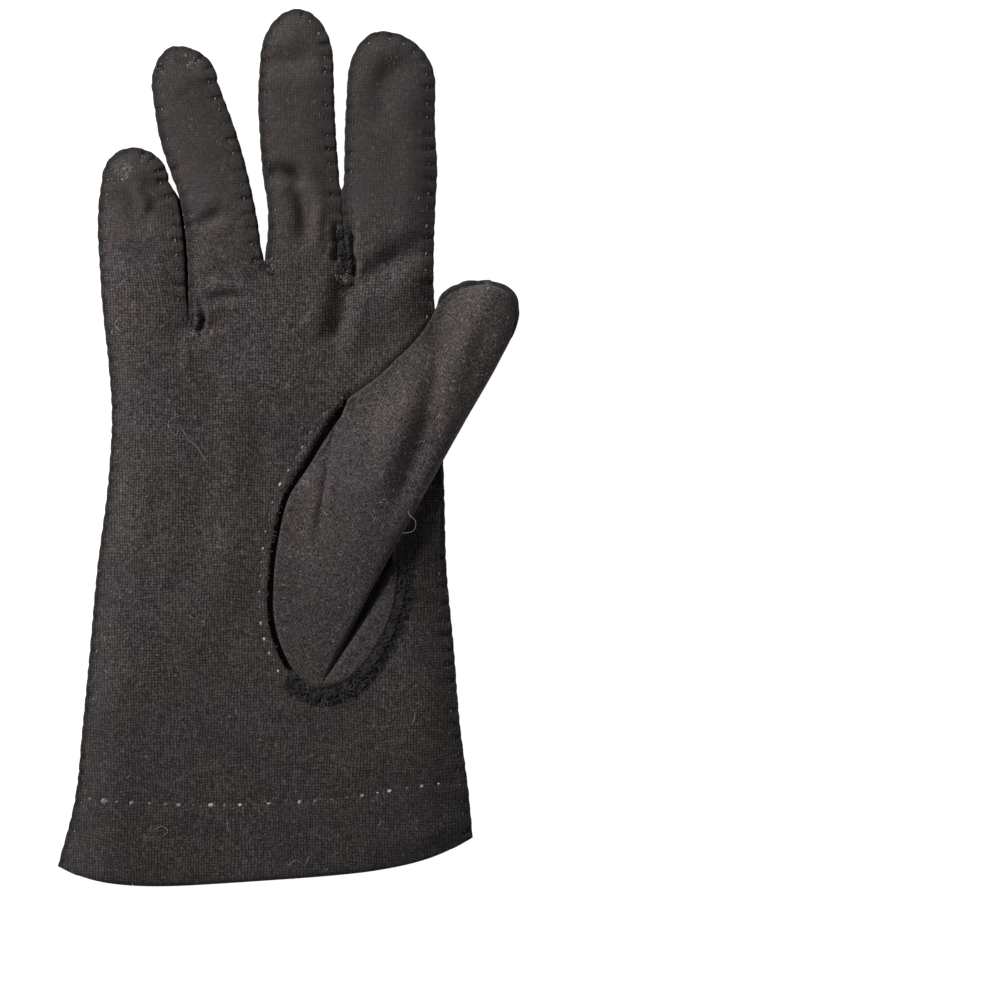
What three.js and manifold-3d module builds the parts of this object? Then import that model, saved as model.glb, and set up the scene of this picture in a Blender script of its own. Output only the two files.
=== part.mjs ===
// Evening glove: a short knitted glove for the right hand, lying palm up.
// Millimetres, +Z up, fingers towards +Y, thumb towards +X.
// The origin lies under the middle of the glove, on the surface it rests on.

import * as THREE from 'three';
import Module from 'manifold-3d';
import { mergeVertices } from 'three/addons/utils/BufferGeometryUtils.js';

const wasm = await Module();
wasm.setup();

// Cloth
const WALL = 1.1; // double knit
const CLEARANCE = 0.3; // between two layers that touch
const SEAM_ALLOWANCE = 2.0; // raw edge left outside the stitch line

// Seam levels, all at the middle of the gap between the two layers
const SIDE_SEAM_Z = 3.6; // palm to back
const PALM_SEAM_RISE = 2.0; // how much higher the palm's seam to a fourchette lies
const BACK_SEAM_DROP = 2.05; // how much lower the back's seam to a fourchette lies
const BACK_ROLL = 7.0; // width over which the back curls up to its seam

// Hem
const HEM_DEPTH_SHARE = 0.137; // 20 mm of the way from the cuff to the finger roots
const HEM_SIDE_SHARE = 0.06; // the band starts this far in from the side seams, as a share of the width
const HEM_CLEARANCE = 0.4;
const HEM_ROWS = 4;
const HEM_COLUMNS = 14;
const HEM_ROUNDNESS = 4; // how flat the hem's bow is in its middle

// Fourchettes
const FORK_WALL = 1.0;
const FORK_END_SHARE = 0.66; // share of its full depth at which a fourchette ends
const FORK_TAPER = 24.0; // distance below a fingertip over which it deepens
const FORK_RECESS = 0.5; // its raw edges lie this far inside those of the panels
const FORK_BOW = 0.5; // how far its middle bows into the finger
const FORK_STEPS = 9; // sections up each finger
const FORK_TURNS = 4; // steps round the crotch

// Rows across the hand: the outline's left and right ends, from the cuff to the finger roots.
// sag is how far the middle of the row bows towards the wrist.
const HAND_ROWS = [
  { leftX: -62.1, leftY: -113.9, rightX: 50.0, rightY: -106.1, sag: 7.2 },
  { leftX: -57.5, leftY: -95.9, rightX: 48.9, rightY: -94.0, sag: 0 },
  { leftX: -55.4, leftY: -76.0, rightX: 46.5, rightY: -75.0, sag: 0 },
  { leftX: -53.4, leftY: -55.0, rightX: 44.9, rightY: -55.0, sag: 0 },
  { leftX: -51.4, leftY: -33.0, rightX: 42.9, rightY: -33.0, sag: 0 },
  { leftX: -48.6, leftY: -11.0, rightX: 42.3, rightY: -12.0, sag: 0 },
  { leftX: -47.5, leftY: 8.0, rightX: 41.5, rightY: 8.0, sag: 0 },
  { leftX: -48.4, leftY: 22.0, rightX: 40.3, rightY: 26.0, sag: 0 },
  { leftX: -49.4, leftY: 31.1, rightX: 39.4, rightY: 43.2, sag: 0 },
];

// Rows across each finger, from its root to where the tip begins to round.
const FINGERS = [
  {
    name: 'little',
    tipX: -41.9,
    tipY: 80.5,
    rows: [
      { leftX: -49.4, leftY: 31.1, rightX: -25.1, rightY: 32.1 },
      { leftX: -50.2, leftY: 39.2, rightX: -26.4, rightY: 41.5 },
      { leftX: -50.8, leftY: 48.6, rightX: -27.2, rightY: 49.8 },
      { leftX: -51.3, leftY: 58.1, rightX: -28.3, rightY: 58.0 },
      { leftX: -51.0, leftY: 66.2, rightX: -29.9, rightY: 66.0 },
      { leftX: -50.2, leftY: 71.6, rightX: -32.4, rightY: 71.6 },
    ],
  },
  {
    name: 'ring',
    tipX: -30.0,
    tipY: 108.0,
    rows: [
      { leftX: -25.1, leftY: 32.1, rightX: -6.2, rightY: 48.9 },
      { leftX: -25.4, leftY: 42.0, rightX: -7.4, rightY: 53.5 },
      { leftX: -26.6, leftY: 52.0, rightX: -8.2, rightY: 59.5 },
      { leftX: -28.7, leftY: 66.2, rightX: -9.8, rightY: 68.0 },
      { leftX: -31.2, leftY: 73.0, rightX: -12.2, rightY: 78.0 },
      { leftX: -34.4, leftY: 83.0, rightX: -14.6, rightY: 86.0 },
      { leftX: -36.7, leftY: 97.2, rightX: -19.2, rightY: 98.6 },
    ],
  },
  {
    name: 'middle',
    tipX: 2.7,
    tipY: 118.0,
    rows: [
      { leftX: -6.2, leftY: 48.9, rightX: 16.7, rightY: 44.3 },
      { leftX: -5.2, leftY: 57.0, rightX: 15.2, rightY: 54.5 },
      { leftX: -5.2, leftY: 64.5, rightX: 14.2, rightY: 64.5 },
      { leftX: -6.5, leftY: 73.0, rightX: 13.7, rightY: 73.5 },
      { leftX: -7.3, leftY: 83.0, rightX: 12.9, rightY: 84.0 },
      { leftX: -7.8, leftY: 94.0, rightX: 12.4, rightY: 95.0 },
      { leftX: -7.3, leftY: 103.5, rightX: 12.2, rightY: 103.5 },
    ],
  },
  {
    name: 'index',
    tipX: 25.4,
    tipY: 112.0,
    rows: [
      { leftX: 16.7, leftY: 44.3, rightX: 39.4, rightY: 43.2 },
      { leftX: 16.2, leftY: 54.5, rightX: 39.5, rightY: 53.5 },
      { leftX: 15.3, leftY: 65.0, rightX: 39.9, rightY: 64.5 },
      { leftX: 15.5, leftY: 75.0, rightX: 40.4, rightY: 75.0 },
      { leftX: 15.7, leftY: 86.0, rightX: 39.8, rightY: 86.0 },
      { leftX: 16.3, leftY: 97.5, rightX: 39.9, rightY: 97.5 },
    ],
  },
];

// How high the palm side stands, and over what width it rolls up from its seam.
const LOFT_ROWS = [
  { y: -118, top: 11.6, roll: 13 },
  { y: -60, top: 10.8, roll: 11 },
  { y: 0, top: 10.4, roll: 10 },
  { y: 30, top: 9.6, roll: 8 },
  { y: 55, top: 8.6, roll: 7 },
  { y: 118, top: 8.0, roll: 6.5 },
];

// Dents and folds in the palm side: centre, direction of the fold, its length, its width and its depth.
const FOLDS = [
  { x: 32, y: -8, turn: 62, length: 44, width: 26, depth: 2.6 }, // pressed down by the thumb
  { x: 15.5, y: 33, turn: 80, length: 15, width: 4.5, depth: 1.5 }, // below the index crotch
  { x: 28, y: 50, turn: 25, length: 12, width: 5, depth: 0.9 }, // root of the index finger
  { x: 1, y: 73, turn: -20, length: 9, width: 3.5, depth: 0.8 }, // middle finger, upper end of its fold
  { x: 4.6, y: 62, turn: 96, length: 12, width: 3.5, depth: 0.9 }, // middle finger, lower end
  { x: -20, y: 61, turn: 20, length: 10, width: 4.5, depth: 0.6 }, // root of the ring finger
  { x: -19, y: 33, turn: 25, length: 12, width: 4.5, depth: 0.7 }, // pull at the ring crotch
  { x: 23, y: 99, turn: 10, length: 9, width: 8, depth: 0.7 }, // hollow index fingertip
  { x: 1, y: 104, turn: 0, length: 8, width: 6, depth: 0.5 }, // hollow middle fingertip
  { x: -12, y: -45, turn: 75, length: 42, width: 12, depth: 0.7 }, // beside the ball of the thumb
];

// The thumb hole, anticlockwise from the upper end of its slit: a row for each point of its edge.
// gap is the space between that edge and the thumb piece, and level is the height of the thumb's
// lower edge above the palm's face.
const THUMB_HOLE = [
  { x: 17.0, y: 13.0, gap: 0.6, level: -0.3 },
  { x: 12.6, y: 9.0, gap: 1.4, level: -0.9 },
  { x: 3.9, y: -5.4, gap: 1.1, level: -0.9 },
  { x: -0.8, y: -13.5, gap: 1.0, level: -0.9 },
  { x: -3.6, y: -24.0, gap: 1.0, level: -0.9 },
  { x: -5.1, y: -36.5, gap: 0.9, level: -0.9 },
  { x: -4.9, y: -47.5, gap: 0.8, level: -0.9 },
  { x: -2.2, y: -56.6, gap: 0.6, level: -0.7 },
  { x: 2.7, y: -63.8, gap: 0.4, level: -0.5 },
  { x: 8.4, y: -66.6, gap: 0.4, level: -0.4 },
  { x: 16.5, y: -64.0, gap: 0.4, level: -0.4 },
  { x: 23.6, y: -56.5, gap: 0.4, level: -0.4 },
  { x: 29.0, y: -45.0, gap: 0.4, level: -0.4 },
  { x: 30.2, y: -33.5, gap: 0.4, level: -0.4 },
  { x: 28.0, y: -22.0, gap: 0.4, level: -0.4 },
  { x: 24.4, y: -9.5, gap: 0.4, level: -0.4 },
  { x: 20.3, y: 8.4, gap: 0.4, level: -0.4 },
];
const HOLE_BOTTOM_ROW = 9; // where the thumb's fold meets the hole
const HOLE_SIDES = 48;
const HOLE_FLANGE = { firstRow: 7.6, lastRow: 13.4 }; // where the seam's raw edges lie on the palm

// Points along the thumb's stitched side and its folded side, from the hole to the tip.
const THUMB_SEAM = [
  { x: 23.9, y: 17.2 },
  { x: 29.2, y: 22.1 },
  { x: 34.3, y: 27.0 },
  { x: 39.7, y: 33.1 },
  { x: 43.4, y: 38.0 },
  { x: 47.6, y: 41.3 },
  { x: 53.4, y: 42.6 },
];
const THUMB_FOLD = [
  { x: 13.0, y: -55.7 },
  { x: 23.6, y: -36.5 },
  { x: 35.6, y: -15.0 },
  { x: 47.6, y: 6.5 },
  { x: 56.9, y: 22.9 },
  { x: 60.4, y: 32.0 },
  { x: 59.0, y: 39.4 },
  { x: 53.4, y: 42.6 },
];
const THUMB_HALF_DEPTH = 3.4; // half the tube's depth, at the middle of its cloth
const THUMB_BLUNTNESS = 2; // 2 makes the flattened tube an ellipse, and more makes its sides blunter
const THUMB_RISE_SHARE = 0.42; // share of its folded side over which it swells to that depth
const THUMB_CLEARANCE = 0.5; // between the thumb and the palm it lies on
const THUMB_COLLAR = 1.2; // height that its lower edge stands up before it bends over
const THUMB_FOLLOW = 0.75; // 1 makes it follow the palm's roll, 0 keeps it level
const THUMB_DROOP = 0.2; // how steeply what carries it falls away beyond the glove's edge
const THUMB_RINGS = [
  0.07, 0.13, 0.19, 0.25, 0.31, 0.37, 0.43, 0.5, 0.57, 0.64, 0.71, 0.78, 0.84, 0.9, 0.95, 0.985,
];
const THUMB_ACROSS = [0, 0.05, 0.12, 0.2, 0.3, 0.4, 0.5, 0.6, 0.7, 0.8, 0.88, 0.95, 1];
const SEAM_PACE = 1.5; // above 1 the rings turn square to the thumb sooner
const UPPER_FADE = 6; // how soon the oval of the hole fades out of the upper layer
const LOWER_FADE = 10; // and out of the lower one

// Raw edges of two layers of knit sewn flat together
const EDGE_THICKNESS = 1.4;
const EDGE_OVERLAP = 0.5; // how far they reach into the wall of the tube
const EDGE_TAPER = 0.15; // share of their run over which they widen at each end
const EDGE_STEPS = 14;
const THUMB_EDGE_FROM = 0.1; // share of the stitched side where they start
const THUMB_EDGE_TO = 0.82; // and, past the tip, the share of the folded side where they end
const FLANGE_CLEARANCE = 0.5; // between the hole's raw edges and the palm
const FLANGE_WIDTH = 1.6; // how far they lie over the palm

// How finely the flat layout is divided
const OUTLINE_STEPS = { hand: 24, shaft: 14, tip: 7 };
const PALM_GRID = { columns: [0, 0.1, 0.22, 0.36, 0.5, 0.64, 0.78, 0.9, 1], hand: 18, shaft: 10, tip: 5 };
const BACK_GRID = { columns: [0, 0.09, 0.2, 0.32, 0.68, 0.8, 0.91, 1], hand: 10, shaft: 7, tip: 5 };
const TIP_END = 1.93; // a fingertip's last row stops just short of a point
const TIP_SPACING = 0.85; // below 1 the rows of a fingertip crowd towards its end
const SLOPE_STEP = 0.5; // distance over which a slope is measured
const FORK_SEARCH = 0.01;
const CUTTER_HEIGHT = 30;

const COLOURS = {
  palm: 0x3a3432,
  back: 0x38322f,
  fourchette: 0x332e2c,
  thumb: 0x3d3735,
  hem: 0x352f2d,
};

// Small helpers

const clamp01 = (value) => Math.min(1, Math.max(0, value));
const lerp = (a, b, share) => a + (b - a) * share;
const smooth = (share) => clamp01(share) ** 2 * (3 - 2 * clamp01(share));
const mix = (a, b, share) => a.clone().lerp(b, share);

function splineThrough(points) {
  return new THREE.CatmullRomCurve3(points, false, 'centripetal');
}

// A value from a table of rows, between the two rows that the key lies between.
function fromRows(rows, key, at, column) {
  const next = rows.findIndex((row) => row[key] >= at);
  if (next === -1) return rows[rows.length - 1][column];
  if (next === 0) return rows[0][column];
  const before = rows[next - 1];
  const share = smooth((at - before[key]) / (rows[next][key] - before[key]));
  return lerp(before[column], rows[next][column], share);
}

// A surface patch between four edges; each edge is a function of a share from 0 to 1.
function patchBetween(start, end, left, right) {
  return (across, along) => {
    const ends = mix(start(across), end(across), along);
    const sides = mix(left(along), right(along), across);
    const corners = mix(mix(start(0), start(1), across), mix(end(0), end(1), across), along);
    return ends.add(sides).sub(corners);
  };
}

// Flat layout of the palm and the back

const pointOf = (row, side) => new THREE.Vector3(row[`${side}X`], row[`${side}Y`], 0);
const sideCurve = (rows, side) => splineThrough(rows.map((row) => pointOf(row, side)));

function hemPoint(share) {
  const row = HAND_ROWS[0];
  const point = mix(pointOf(row, 'left'), pointOf(row, 'right'), share);
  point.y -= row.sag * (1 - Math.abs(2 * share - 1) ** HEM_ROUNDNESS);
  return point;
}

function rootPoint(share) {
  const finger = Math.min(FINGERS.length - 1, Math.floor(share * FINGERS.length));
  const row = FINGERS[finger].rows[0];
  return mix(pointOf(row, 'left'), pointOf(row, 'right'), share * FINGERS.length - finger);
}

// How far a fourchette has opened here, from 0 at the fingertip to 1.
const forkShare = (finger, point) => smooth((finger.tipY - point.y) / FORK_TAPER);

const handLeft = sideCurve(HAND_ROWS, 'left');
const handRight = sideCurve(HAND_ROWS, 'right');
const handPoint = patchBetween(
  hemPoint,
  rootPoint,
  (share) => handLeft.getPointAt(share),
  (share) => handRight.getPointAt(share),
);

// The two ends of one row across a finger; along runs from 0 at the root to 1 at the tip's first row,
// then to 2 at the tip, where each side is a quarter of an ellipse.
function fingerRow(finger, curves, along) {
  if (along <= 1) return { left: curves.left.getPointAt(along), right: curves.right.getPointAt(along) };
  const angle = ((along - 1) * Math.PI) / 2;
  const row = finger.rows[finger.rows.length - 1];
  const ends = {};
  for (const side of ['left', 'right']) {
    const start = pointOf(row, side);
    ends[side] = new THREE.Vector3(
      lerp(finger.tipX, start.x, Math.cos(angle)),
      lerp(start.y, finger.tipY, Math.sin(angle)),
      0,
    );
  }
  return ends;
}

function fingerRows(finger, { shaft: shaftSteps, tip: tipSteps }) {
  const curves = { left: sideCurve(finger.rows, 'left'), right: sideCurve(finger.rows, 'right') };
  const rows = [];
  for (let i = 0; i <= shaftSteps; i += 1) rows.push(fingerRow(finger, curves, i / shaftSteps));
  for (let i = 1; i <= tipSteps; i += 1) {
    rows.push(fingerRow(finger, curves, lerp(1, TIP_END, (i / tipSteps) ** TIP_SPACING)));
  }
  return rows;
}

// The outline that is sewn, from the cuff's left corner round the fingers to its right corner.
// fork is 1 where a fourchette lies between palm and back, and 0 where palm and back are sewn together.
function sewnOutline() {
  const outline = [];
  const add = (point, fork) => outline.push({ x: point.x, y: point.y, fork });
  const steps = OUTLINE_STEPS.hand;
  for (let i = 0; i < steps; i += 1) add(handLeft.getPointAt(i / steps), 0);
  FINGERS.forEach((finger, index) => {
    const rows = fingerRows(finger, OUTLINE_STEPS);
    const forkAt = (point, has) => (has ? forkShare(finger, point) : 0);
    const hasLeft = index > 0;
    const hasRight = index < FINGERS.length - 1;
    for (const row of rows) add(row.left, forkAt(row.left, hasLeft));
    for (const row of rows.reverse().slice(0, -1)) add(row.right, forkAt(row.right, hasRight));
  });
  for (let i = steps; i >= 0; i -= 1) add(handRight.getPointAt(i / steps), 0);
  return outline;
}

const OUTLINE = sewnOutline();

// The nearest place on the sewn outline: its distance and its share of fourchette.
function nearestSeam(x, y) {
  const best = { distance: Infinity, fork: 0 };
  for (let i = 1; i < OUTLINE.length; i += 1) {
    const a = OUTLINE[i - 1];
    const b = OUTLINE[i];
    const dx = b.x - a.x;
    const dy = b.y - a.y;
    const share = clamp01(((x - a.x) * dx + (y - a.y) * dy) / (dx * dx + dy * dy || 1));
    const distance = Math.hypot(x - a.x - dx * share, y - a.y - dy * share);
    if (distance < best.distance) {
      best.distance = distance;
      best.fork = lerp(a.fork, b.fork, share);
    }
  }
  return best;
}

// Heights of the cloth

function foldDepth(x, y) {
  let depth = 0;
  for (const fold of FOLDS) {
    const turn = THREE.MathUtils.degToRad(fold.turn);
    const along = (x - fold.x) * Math.cos(turn) + (y - fold.y) * Math.sin(turn);
    const across = (y - fold.y) * Math.cos(turn) - (x - fold.x) * Math.sin(turn);
    const reach = (2 * along / fold.length) ** 2 + (2 * across / fold.width) ** 2;
    depth += fold.depth * Math.exp(-reach);
  }
  return depth;
}

// The palm's outer face: level over the raw edge, then rolling up to the full loft, less its folds.
function palmTop(x, y) {
  const seam = nearestSeam(x, y);
  const edge = SIDE_SEAM_Z + CLEARANCE / 2 + WALL + PALM_SEAM_RISE * seam.fork;
  const roll = fromRows(LOFT_ROWS, 'y', y, 'roll');
  const rolled = Math.sin((clamp01((seam.distance - SEAM_ALLOWANCE) / roll) * Math.PI) / 2);
  return edge + (fromRows(LOFT_ROWS, 'y', y, 'top') - edge - foldDepth(x, y)) * rolled;
}

// The back's outer face: flat on the surface, curling up to its seam.
function backBottom(x, y) {
  const seam = nearestSeam(x, y);
  const edge = SIDE_SEAM_Z - CLEARANCE / 2 - WALL - BACK_SEAM_DROP * seam.fork;
  const curl = clamp01(1 - (seam.distance - SEAM_ALLOWANCE) / BACK_ROLL);
  return edge * curl ** 2;
}

// A layer's height counted along its slope, so that a sloping wall keeps its thickness.
function layerHeight(height, x, y, thickness) {
  const slopeX = (height(x + SLOPE_STEP, y) - height(x - SLOPE_STEP, y)) / (2 * SLOPE_STEP);
  const slopeY = (height(x, y + SLOPE_STEP) - height(x, y - SLOPE_STEP)) / (2 * SLOPE_STEP);
  return thickness * Math.hypot(1, slopeX, slopeY);
}

const palmBottom = (x, y) => palmTop(x, y) - layerHeight(palmTop, x, y, WALL);
const backTop = (x, y) => backBottom(x, y) + layerHeight(backBottom, x, y, WALL);

// Grids of flat points, and the slabs of cloth made on them

class Grid {
  constructor() {
    this.points = [];
    this.quads = [];
    this.known = new Map();
  }

  vertex(point) {
    const key = `${point.x.toFixed(3)},${point.y.toFixed(3)}`;
    if (!this.known.has(key)) {
      this.known.set(key, this.points.length);
      this.points.push(point);
    }
    return this.known.get(key);
  }

  // rows is a list of rows of points, each running from left to right, the rows upwards
  addRows(rows) {
    const indices = rows.map((row) => row.map((point) => this.vertex(point)));
    for (let j = 1; j < rows.length; j += 1) {
      for (let i = 1; i < rows[j].length; i += 1) {
        this.quads.push([indices[j - 1][i - 1], indices[j - 1][i], indices[j][i], indices[j][i - 1]]);
      }
    }
  }
}

function triangleEdges(triangles) {
  const edges = new Map();
  for (const [a, b, c] of triangles) {
    for (const [from, to] of [[a, b], [b, c], [c, a]]) edges.set(`${from}_${to}`, [from, to]);
  }
  return edges;
}

// A closed slab between two heights over a grid.
function slab(grid, bottomAt, topAt) {
  const count = grid.points.length;
  const positions = [];
  for (const point of grid.points) positions.push(point.x, point.y, bottomAt(point.x, point.y));
  for (const point of grid.points) positions.push(point.x, point.y, topAt(point.x, point.y));
  const flat = grid.quads.flatMap(([a, b, c, d]) => [[a, b, c], [a, c, d]]);
  const index = [];
  for (const [a, b, c] of flat) {
    index.push(a + count, b + count, c + count);
    index.push(a, c, b);
  }
  const edges = triangleEdges(flat);
  for (const [from, to] of edges.values()) {
    if (edges.has(`${to}_${from}`)) continue;
    index.push(from, to, to + count);
    index.push(from, to + count, from + count);
  }
  const geometry = new THREE.BufferGeometry();
  geometry.setAttribute('position', new THREE.Float32BufferAttribute(positions, 3));
  geometry.setIndex(index);
  return geometry;
}

// Rows of a panel: the hand, then each finger on its own stretch of the root line.
function panelGrid(division) {
  const { columns, hand: handSteps } = division;
  const grid = new Grid();
  const handColumns = FINGERS.flatMap((finger, index) => (
    columns.slice(index === 0 ? 0 : 1).map((share) => (index + share) / FINGERS.length)
  ));
  const handRows = [];
  for (let j = 0; j <= handSteps; j += 1) {
    handRows.push(handColumns.map((share) => handPoint(share, j / handSteps)));
  }
  grid.addRows(handRows);
  for (const finger of FINGERS) {
    const rows = fingerRows(finger, division);
    grid.addRows(rows.map((row) => columns.map((share) => mix(row.left, row.right, share))));
  }
  return grid;
}

// Booleans

function toSolid(geometry) {
  const bare = geometry.clone();
  bare.deleteAttribute('normal');
  bare.deleteAttribute('uv');
  const merged = mergeVertices(bare);
  return new wasm.Manifold(new wasm.Mesh({
    numProp: 3,
    vertProperties: new Float32Array(merged.attributes.position.array),
    triVerts: new Uint32Array(merged.index.array),
  }));
}

function toGeometry(solid) {
  const mesh = solid.getMesh();
  const geometry = new THREE.BufferGeometry();
  geometry.setAttribute('position', new THREE.BufferAttribute(mesh.vertProperties, mesh.numProp));
  geometry.setIndex(new THREE.BufferAttribute(mesh.triVerts, 1));
  return geometry;
}

// Bodies made of rings or sections

// Joins rings of equal length into a skin; flip turns its faces the other way.
function skin(rings, flip) {
  const index = [];
  for (let j = 1; j < rings.length; j += 1) {
    const size = rings[j].length;
    for (let i = 0; i < size; i += 1) {
      const a = rings[j - 1][i];
      const b = rings[j - 1][(i + 1) % size];
      const c = rings[j][(i + 1) % size];
      const d = rings[j][i];
      index.push(...(flip ? [a, c, b, a, d, c] : [a, b, c, a, c, d]));
    }
  }
  return index;
}

// A body's faces point out when its volume is above 0.
function closedBody(points, index) {
  let volume = 0;
  for (let i = 0; i < index.length; i += 3) {
    const [a, b, c] = index.slice(i, i + 3).map((place) => points[place]);
    volume += a.dot(b.clone().cross(c));
  }
  const geometry = new THREE.BufferGeometry().setFromPoints(points);
  geometry.setIndex(volume > 0 ? index : index.reverse());
  return geometry;
}

// A body through sections of equal length. profile is the flat shape that closes both of its ends.
function sectionBody(sections, profile) {
  const size = profile.length;
  const rings = sections.map((section, row) => section.map((point, i) => row * size + i));
  const faces = THREE.ShapeUtils.triangulateShape(profile, []);
  const runsForward = faces.some((face) => face.some((corner, k) => face[(k + 1) % 3] === corner + 1));
  const index = skin(rings, false);
  for (const face of faces) {
    const forward = runsForward ? face : [...face].reverse();
    index.push(...[...forward].reverse().map((corner) => rings[0][corner]));
    index.push(...forward.map((corner) => rings[rings.length - 1][corner]));
  }
  return closedBody(sections.flat(), index);
}

// Fourchettes

// Places up one side of a finger, from its root to where the fourchette ends; inward is the direction
// into the finger.
function forkSide(finger, side) {
  const curve = sideCurve(finger.rows, side);
  let end = 1;
  while (forkShare(finger, curve.getPointAt(end)) < FORK_END_SHARE) end -= FORK_SEARCH;
  const places = [];
  for (let i = 0; i <= FORK_STEPS; i += 1) {
    const at = (end * i) / FORK_STEPS;
    const point = curve.getPointAt(at);
    const tangent = curve.getTangentAt(at);
    const inward = Math.atan2(tangent.y, tangent.x) + (side === 'left' ? -Math.PI / 2 : Math.PI / 2);
    places.push({ point, inward, fork: forkShare(finger, point) });
  }
  return places;
}

// Down the first finger, round the crotch, and up the second.
function forkPath(first, second) {
  const down = forkSide(first, 'right').reverse();
  const up = forkSide(second, 'left');
  const root = down[down.length - 1];
  const turn = [];
  for (let i = 1; i < FORK_TURNS; i += 1) {
    const inward = lerp(root.inward, up[0].inward + 2 * Math.PI, i / FORK_TURNS);
    turn.push({ point: root.point, inward, fork: 1 });
  }
  return [...down, ...turn, ...up];
}

// A strip folded like a channel that opens between the fingers, with its raw edges turned out.
function forkProfile(fork) {
  const top = SIDE_SEAM_Z + CLEARANCE / 2 + PALM_SEAM_RISE * fork - CLEARANCE;
  const bottom = SIDE_SEAM_Z - CLEARANCE / 2 - BACK_SEAM_DROP * fork + CLEARANCE;
  const middle = (top + bottom) / 2;
  const stitch = SEAM_ALLOWANCE;
  return [
    new THREE.Vector2(FORK_RECESS, top),
    new THREE.Vector2(stitch + FORK_WALL, top),
    new THREE.Vector2(stitch + FORK_WALL + FORK_BOW, middle),
    new THREE.Vector2(stitch + FORK_WALL, bottom),
    new THREE.Vector2(FORK_RECESS, bottom),
    new THREE.Vector2(FORK_RECESS, bottom + FORK_WALL),
    new THREE.Vector2(stitch, bottom + FORK_WALL),
    new THREE.Vector2(stitch + FORK_BOW, middle),
    new THREE.Vector2(stitch, top - FORK_WALL),
    new THREE.Vector2(FORK_RECESS, top - FORK_WALL),
  ];
}

function makeFourchette(first, second) {
  const sections = forkPath(first, second).map(({ point, inward, fork }) => (
    forkProfile(fork).map((corner) => new THREE.Vector3(
      point.x + Math.cos(inward) * corner.x,
      point.y + Math.sin(inward) * corner.x,
      corner.y,
    ))
  ));
  return sectionBody(sections, forkProfile(1));
}

// Hem bands, turned in under the palm and over the back

function hemGrid() {
  const grid = new Grid();
  const rows = [];
  for (let j = 0; j <= HEM_ROWS; j += 1) {
    const row = [];
    for (let i = 0; i <= HEM_COLUMNS; i += 1) {
      const across = lerp(HEM_SIDE_SHARE, 1 - HEM_SIDE_SHARE, i / HEM_COLUMNS);
      row.push(handPoint(across, (HEM_DEPTH_SHARE * j) / HEM_ROWS));
    }
    rows.push(row);
  }
  grid.addRows(rows);
  return grid;
}

function makePalmHem() {
  const topAt = (x, y) => palmBottom(x, y) - HEM_CLEARANCE;
  return slab(hemGrid(), (x, y) => topAt(x, y) - layerHeight(palmTop, x, y, WALL), topAt);
}

function makeBackHem() {
  const bottomAt = (x, y) => backTop(x, y) + HEM_CLEARANCE;
  return slab(hemGrid(), bottomAt, (x, y) => bottomAt(x, y) + layerHeight(backBottom, x, y, WALL));
}

// The thumb hole

const holeCurve = new THREE.CatmullRomCurve3(
  THUMB_HOLE.map((row) => new THREE.Vector3(row.x, row.y, 0)),
  true,
  'centripetal',
);

// A column of the hole's table at a share of the way round.
function holeValue(share, column) {
  const place = (share - Math.floor(share)) * THUMB_HOLE.length;
  const row = Math.floor(place);
  const next = (row + 1) % THUMB_HOLE.length;
  return lerp(THUMB_HOLE[row][column], THUMB_HOLE[next][column], place - row);
}

// A point beside the hole's edge, on the palm when out is above 0.
function besideHole(share, out) {
  const at = share - Math.floor(share);
  const tangent = holeCurve.getTangent(at);
  const point = holeCurve.getPoint(at);
  point.x += tangent.y * out;
  point.y -= tangent.x * out;
  return point;
}

function holeCutter() {
  const edge = holeCurve.getPoints(HOLE_SIDES).slice(0, -1);
  const shape = new THREE.Shape(edge.map((point) => new THREE.Vector2(point.x, point.y)));
  return new THREE.ExtrudeGeometry(shape, { depth: CUTTER_HEIGHT, bevelEnabled: false });
}

// Thumb

// The middle of the thumb's cloth where it stands in the hole.
const thumbFoot = (share) => besideHole(share, -holeValue(share, 'gap') - WALL / 2);
const sideFrom = (share, rows) => splineThrough([
  thumbFoot(share),
  ...rows.map((row) => new THREE.Vector3(row.x, row.y, 0)),
]);
const HOLE_BOTTOM = HOLE_BOTTOM_ROW / THUMB_HOLE.length;
const thumbSeam = sideFrom(0, THUMB_SEAM);
const thumbFold = sideFrom(HOLE_BOTTOM, THUMB_FOLD);

const upperFoot = (across) => HOLE_BOTTOM * across;
const lowerFoot = (across) => 1 - (1 - HOLE_BOTTOM) * across;

// One layer of the thumb, from its foot in the hole to its tip: straight across from the stitched side
// to the folded side, plus the hole's roundness, which fades with the distance from the hole.
// along is a share of the folded side's length.
function thumbLayer(foot, fade) {
  return (across, along) => {
    const chord = mix(thumbFoot(foot(0)), thumbFoot(foot(1)), across);
    const roundness = thumbFoot(foot(across)).sub(chord);
    const seamShare = along ** SEAM_PACE;
    const straight = mix(thumbSeam.getPointAt(seamShare), thumbFold.getPointAt(along), across);
    return straight.addScaledVector(roundness, (1 - seamShare) ** fade);
  };
}

const upperLayer = thumbLayer(upperFoot, UPPER_FADE);
const lowerLayer = thumbLayer(lowerFoot, LOWER_FADE);

function insideOutline(x, y) {
  let inside = false;
  OUTLINE.forEach((a, i) => {
    const b = OUTLINE[(i + 1) % OUTLINE.length];
    const crosses = a.y > y !== b.y > y;
    if (crosses && x < a.x + ((y - a.y) * (b.x - a.x)) / (b.y - a.y)) inside = !inside;
  });
  return inside;
}

// What the thumb lies on: the palm, and beyond its edge a slope towards the surface. The thumb is too
// stiff to follow it all the way.
function thumbBed(x, y) {
  const edge = SIDE_SEAM_Z + CLEARANCE / 2 + WALL;
  const below = insideOutline(x, y) ? palmTop(x, y) : edge - THUMB_DROOP * nearestSeam(x, y).distance;
  return lerp(fromRows(LOFT_ROWS, 'y', y, 'top'), below, THUMB_FOLLOW);
}

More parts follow.
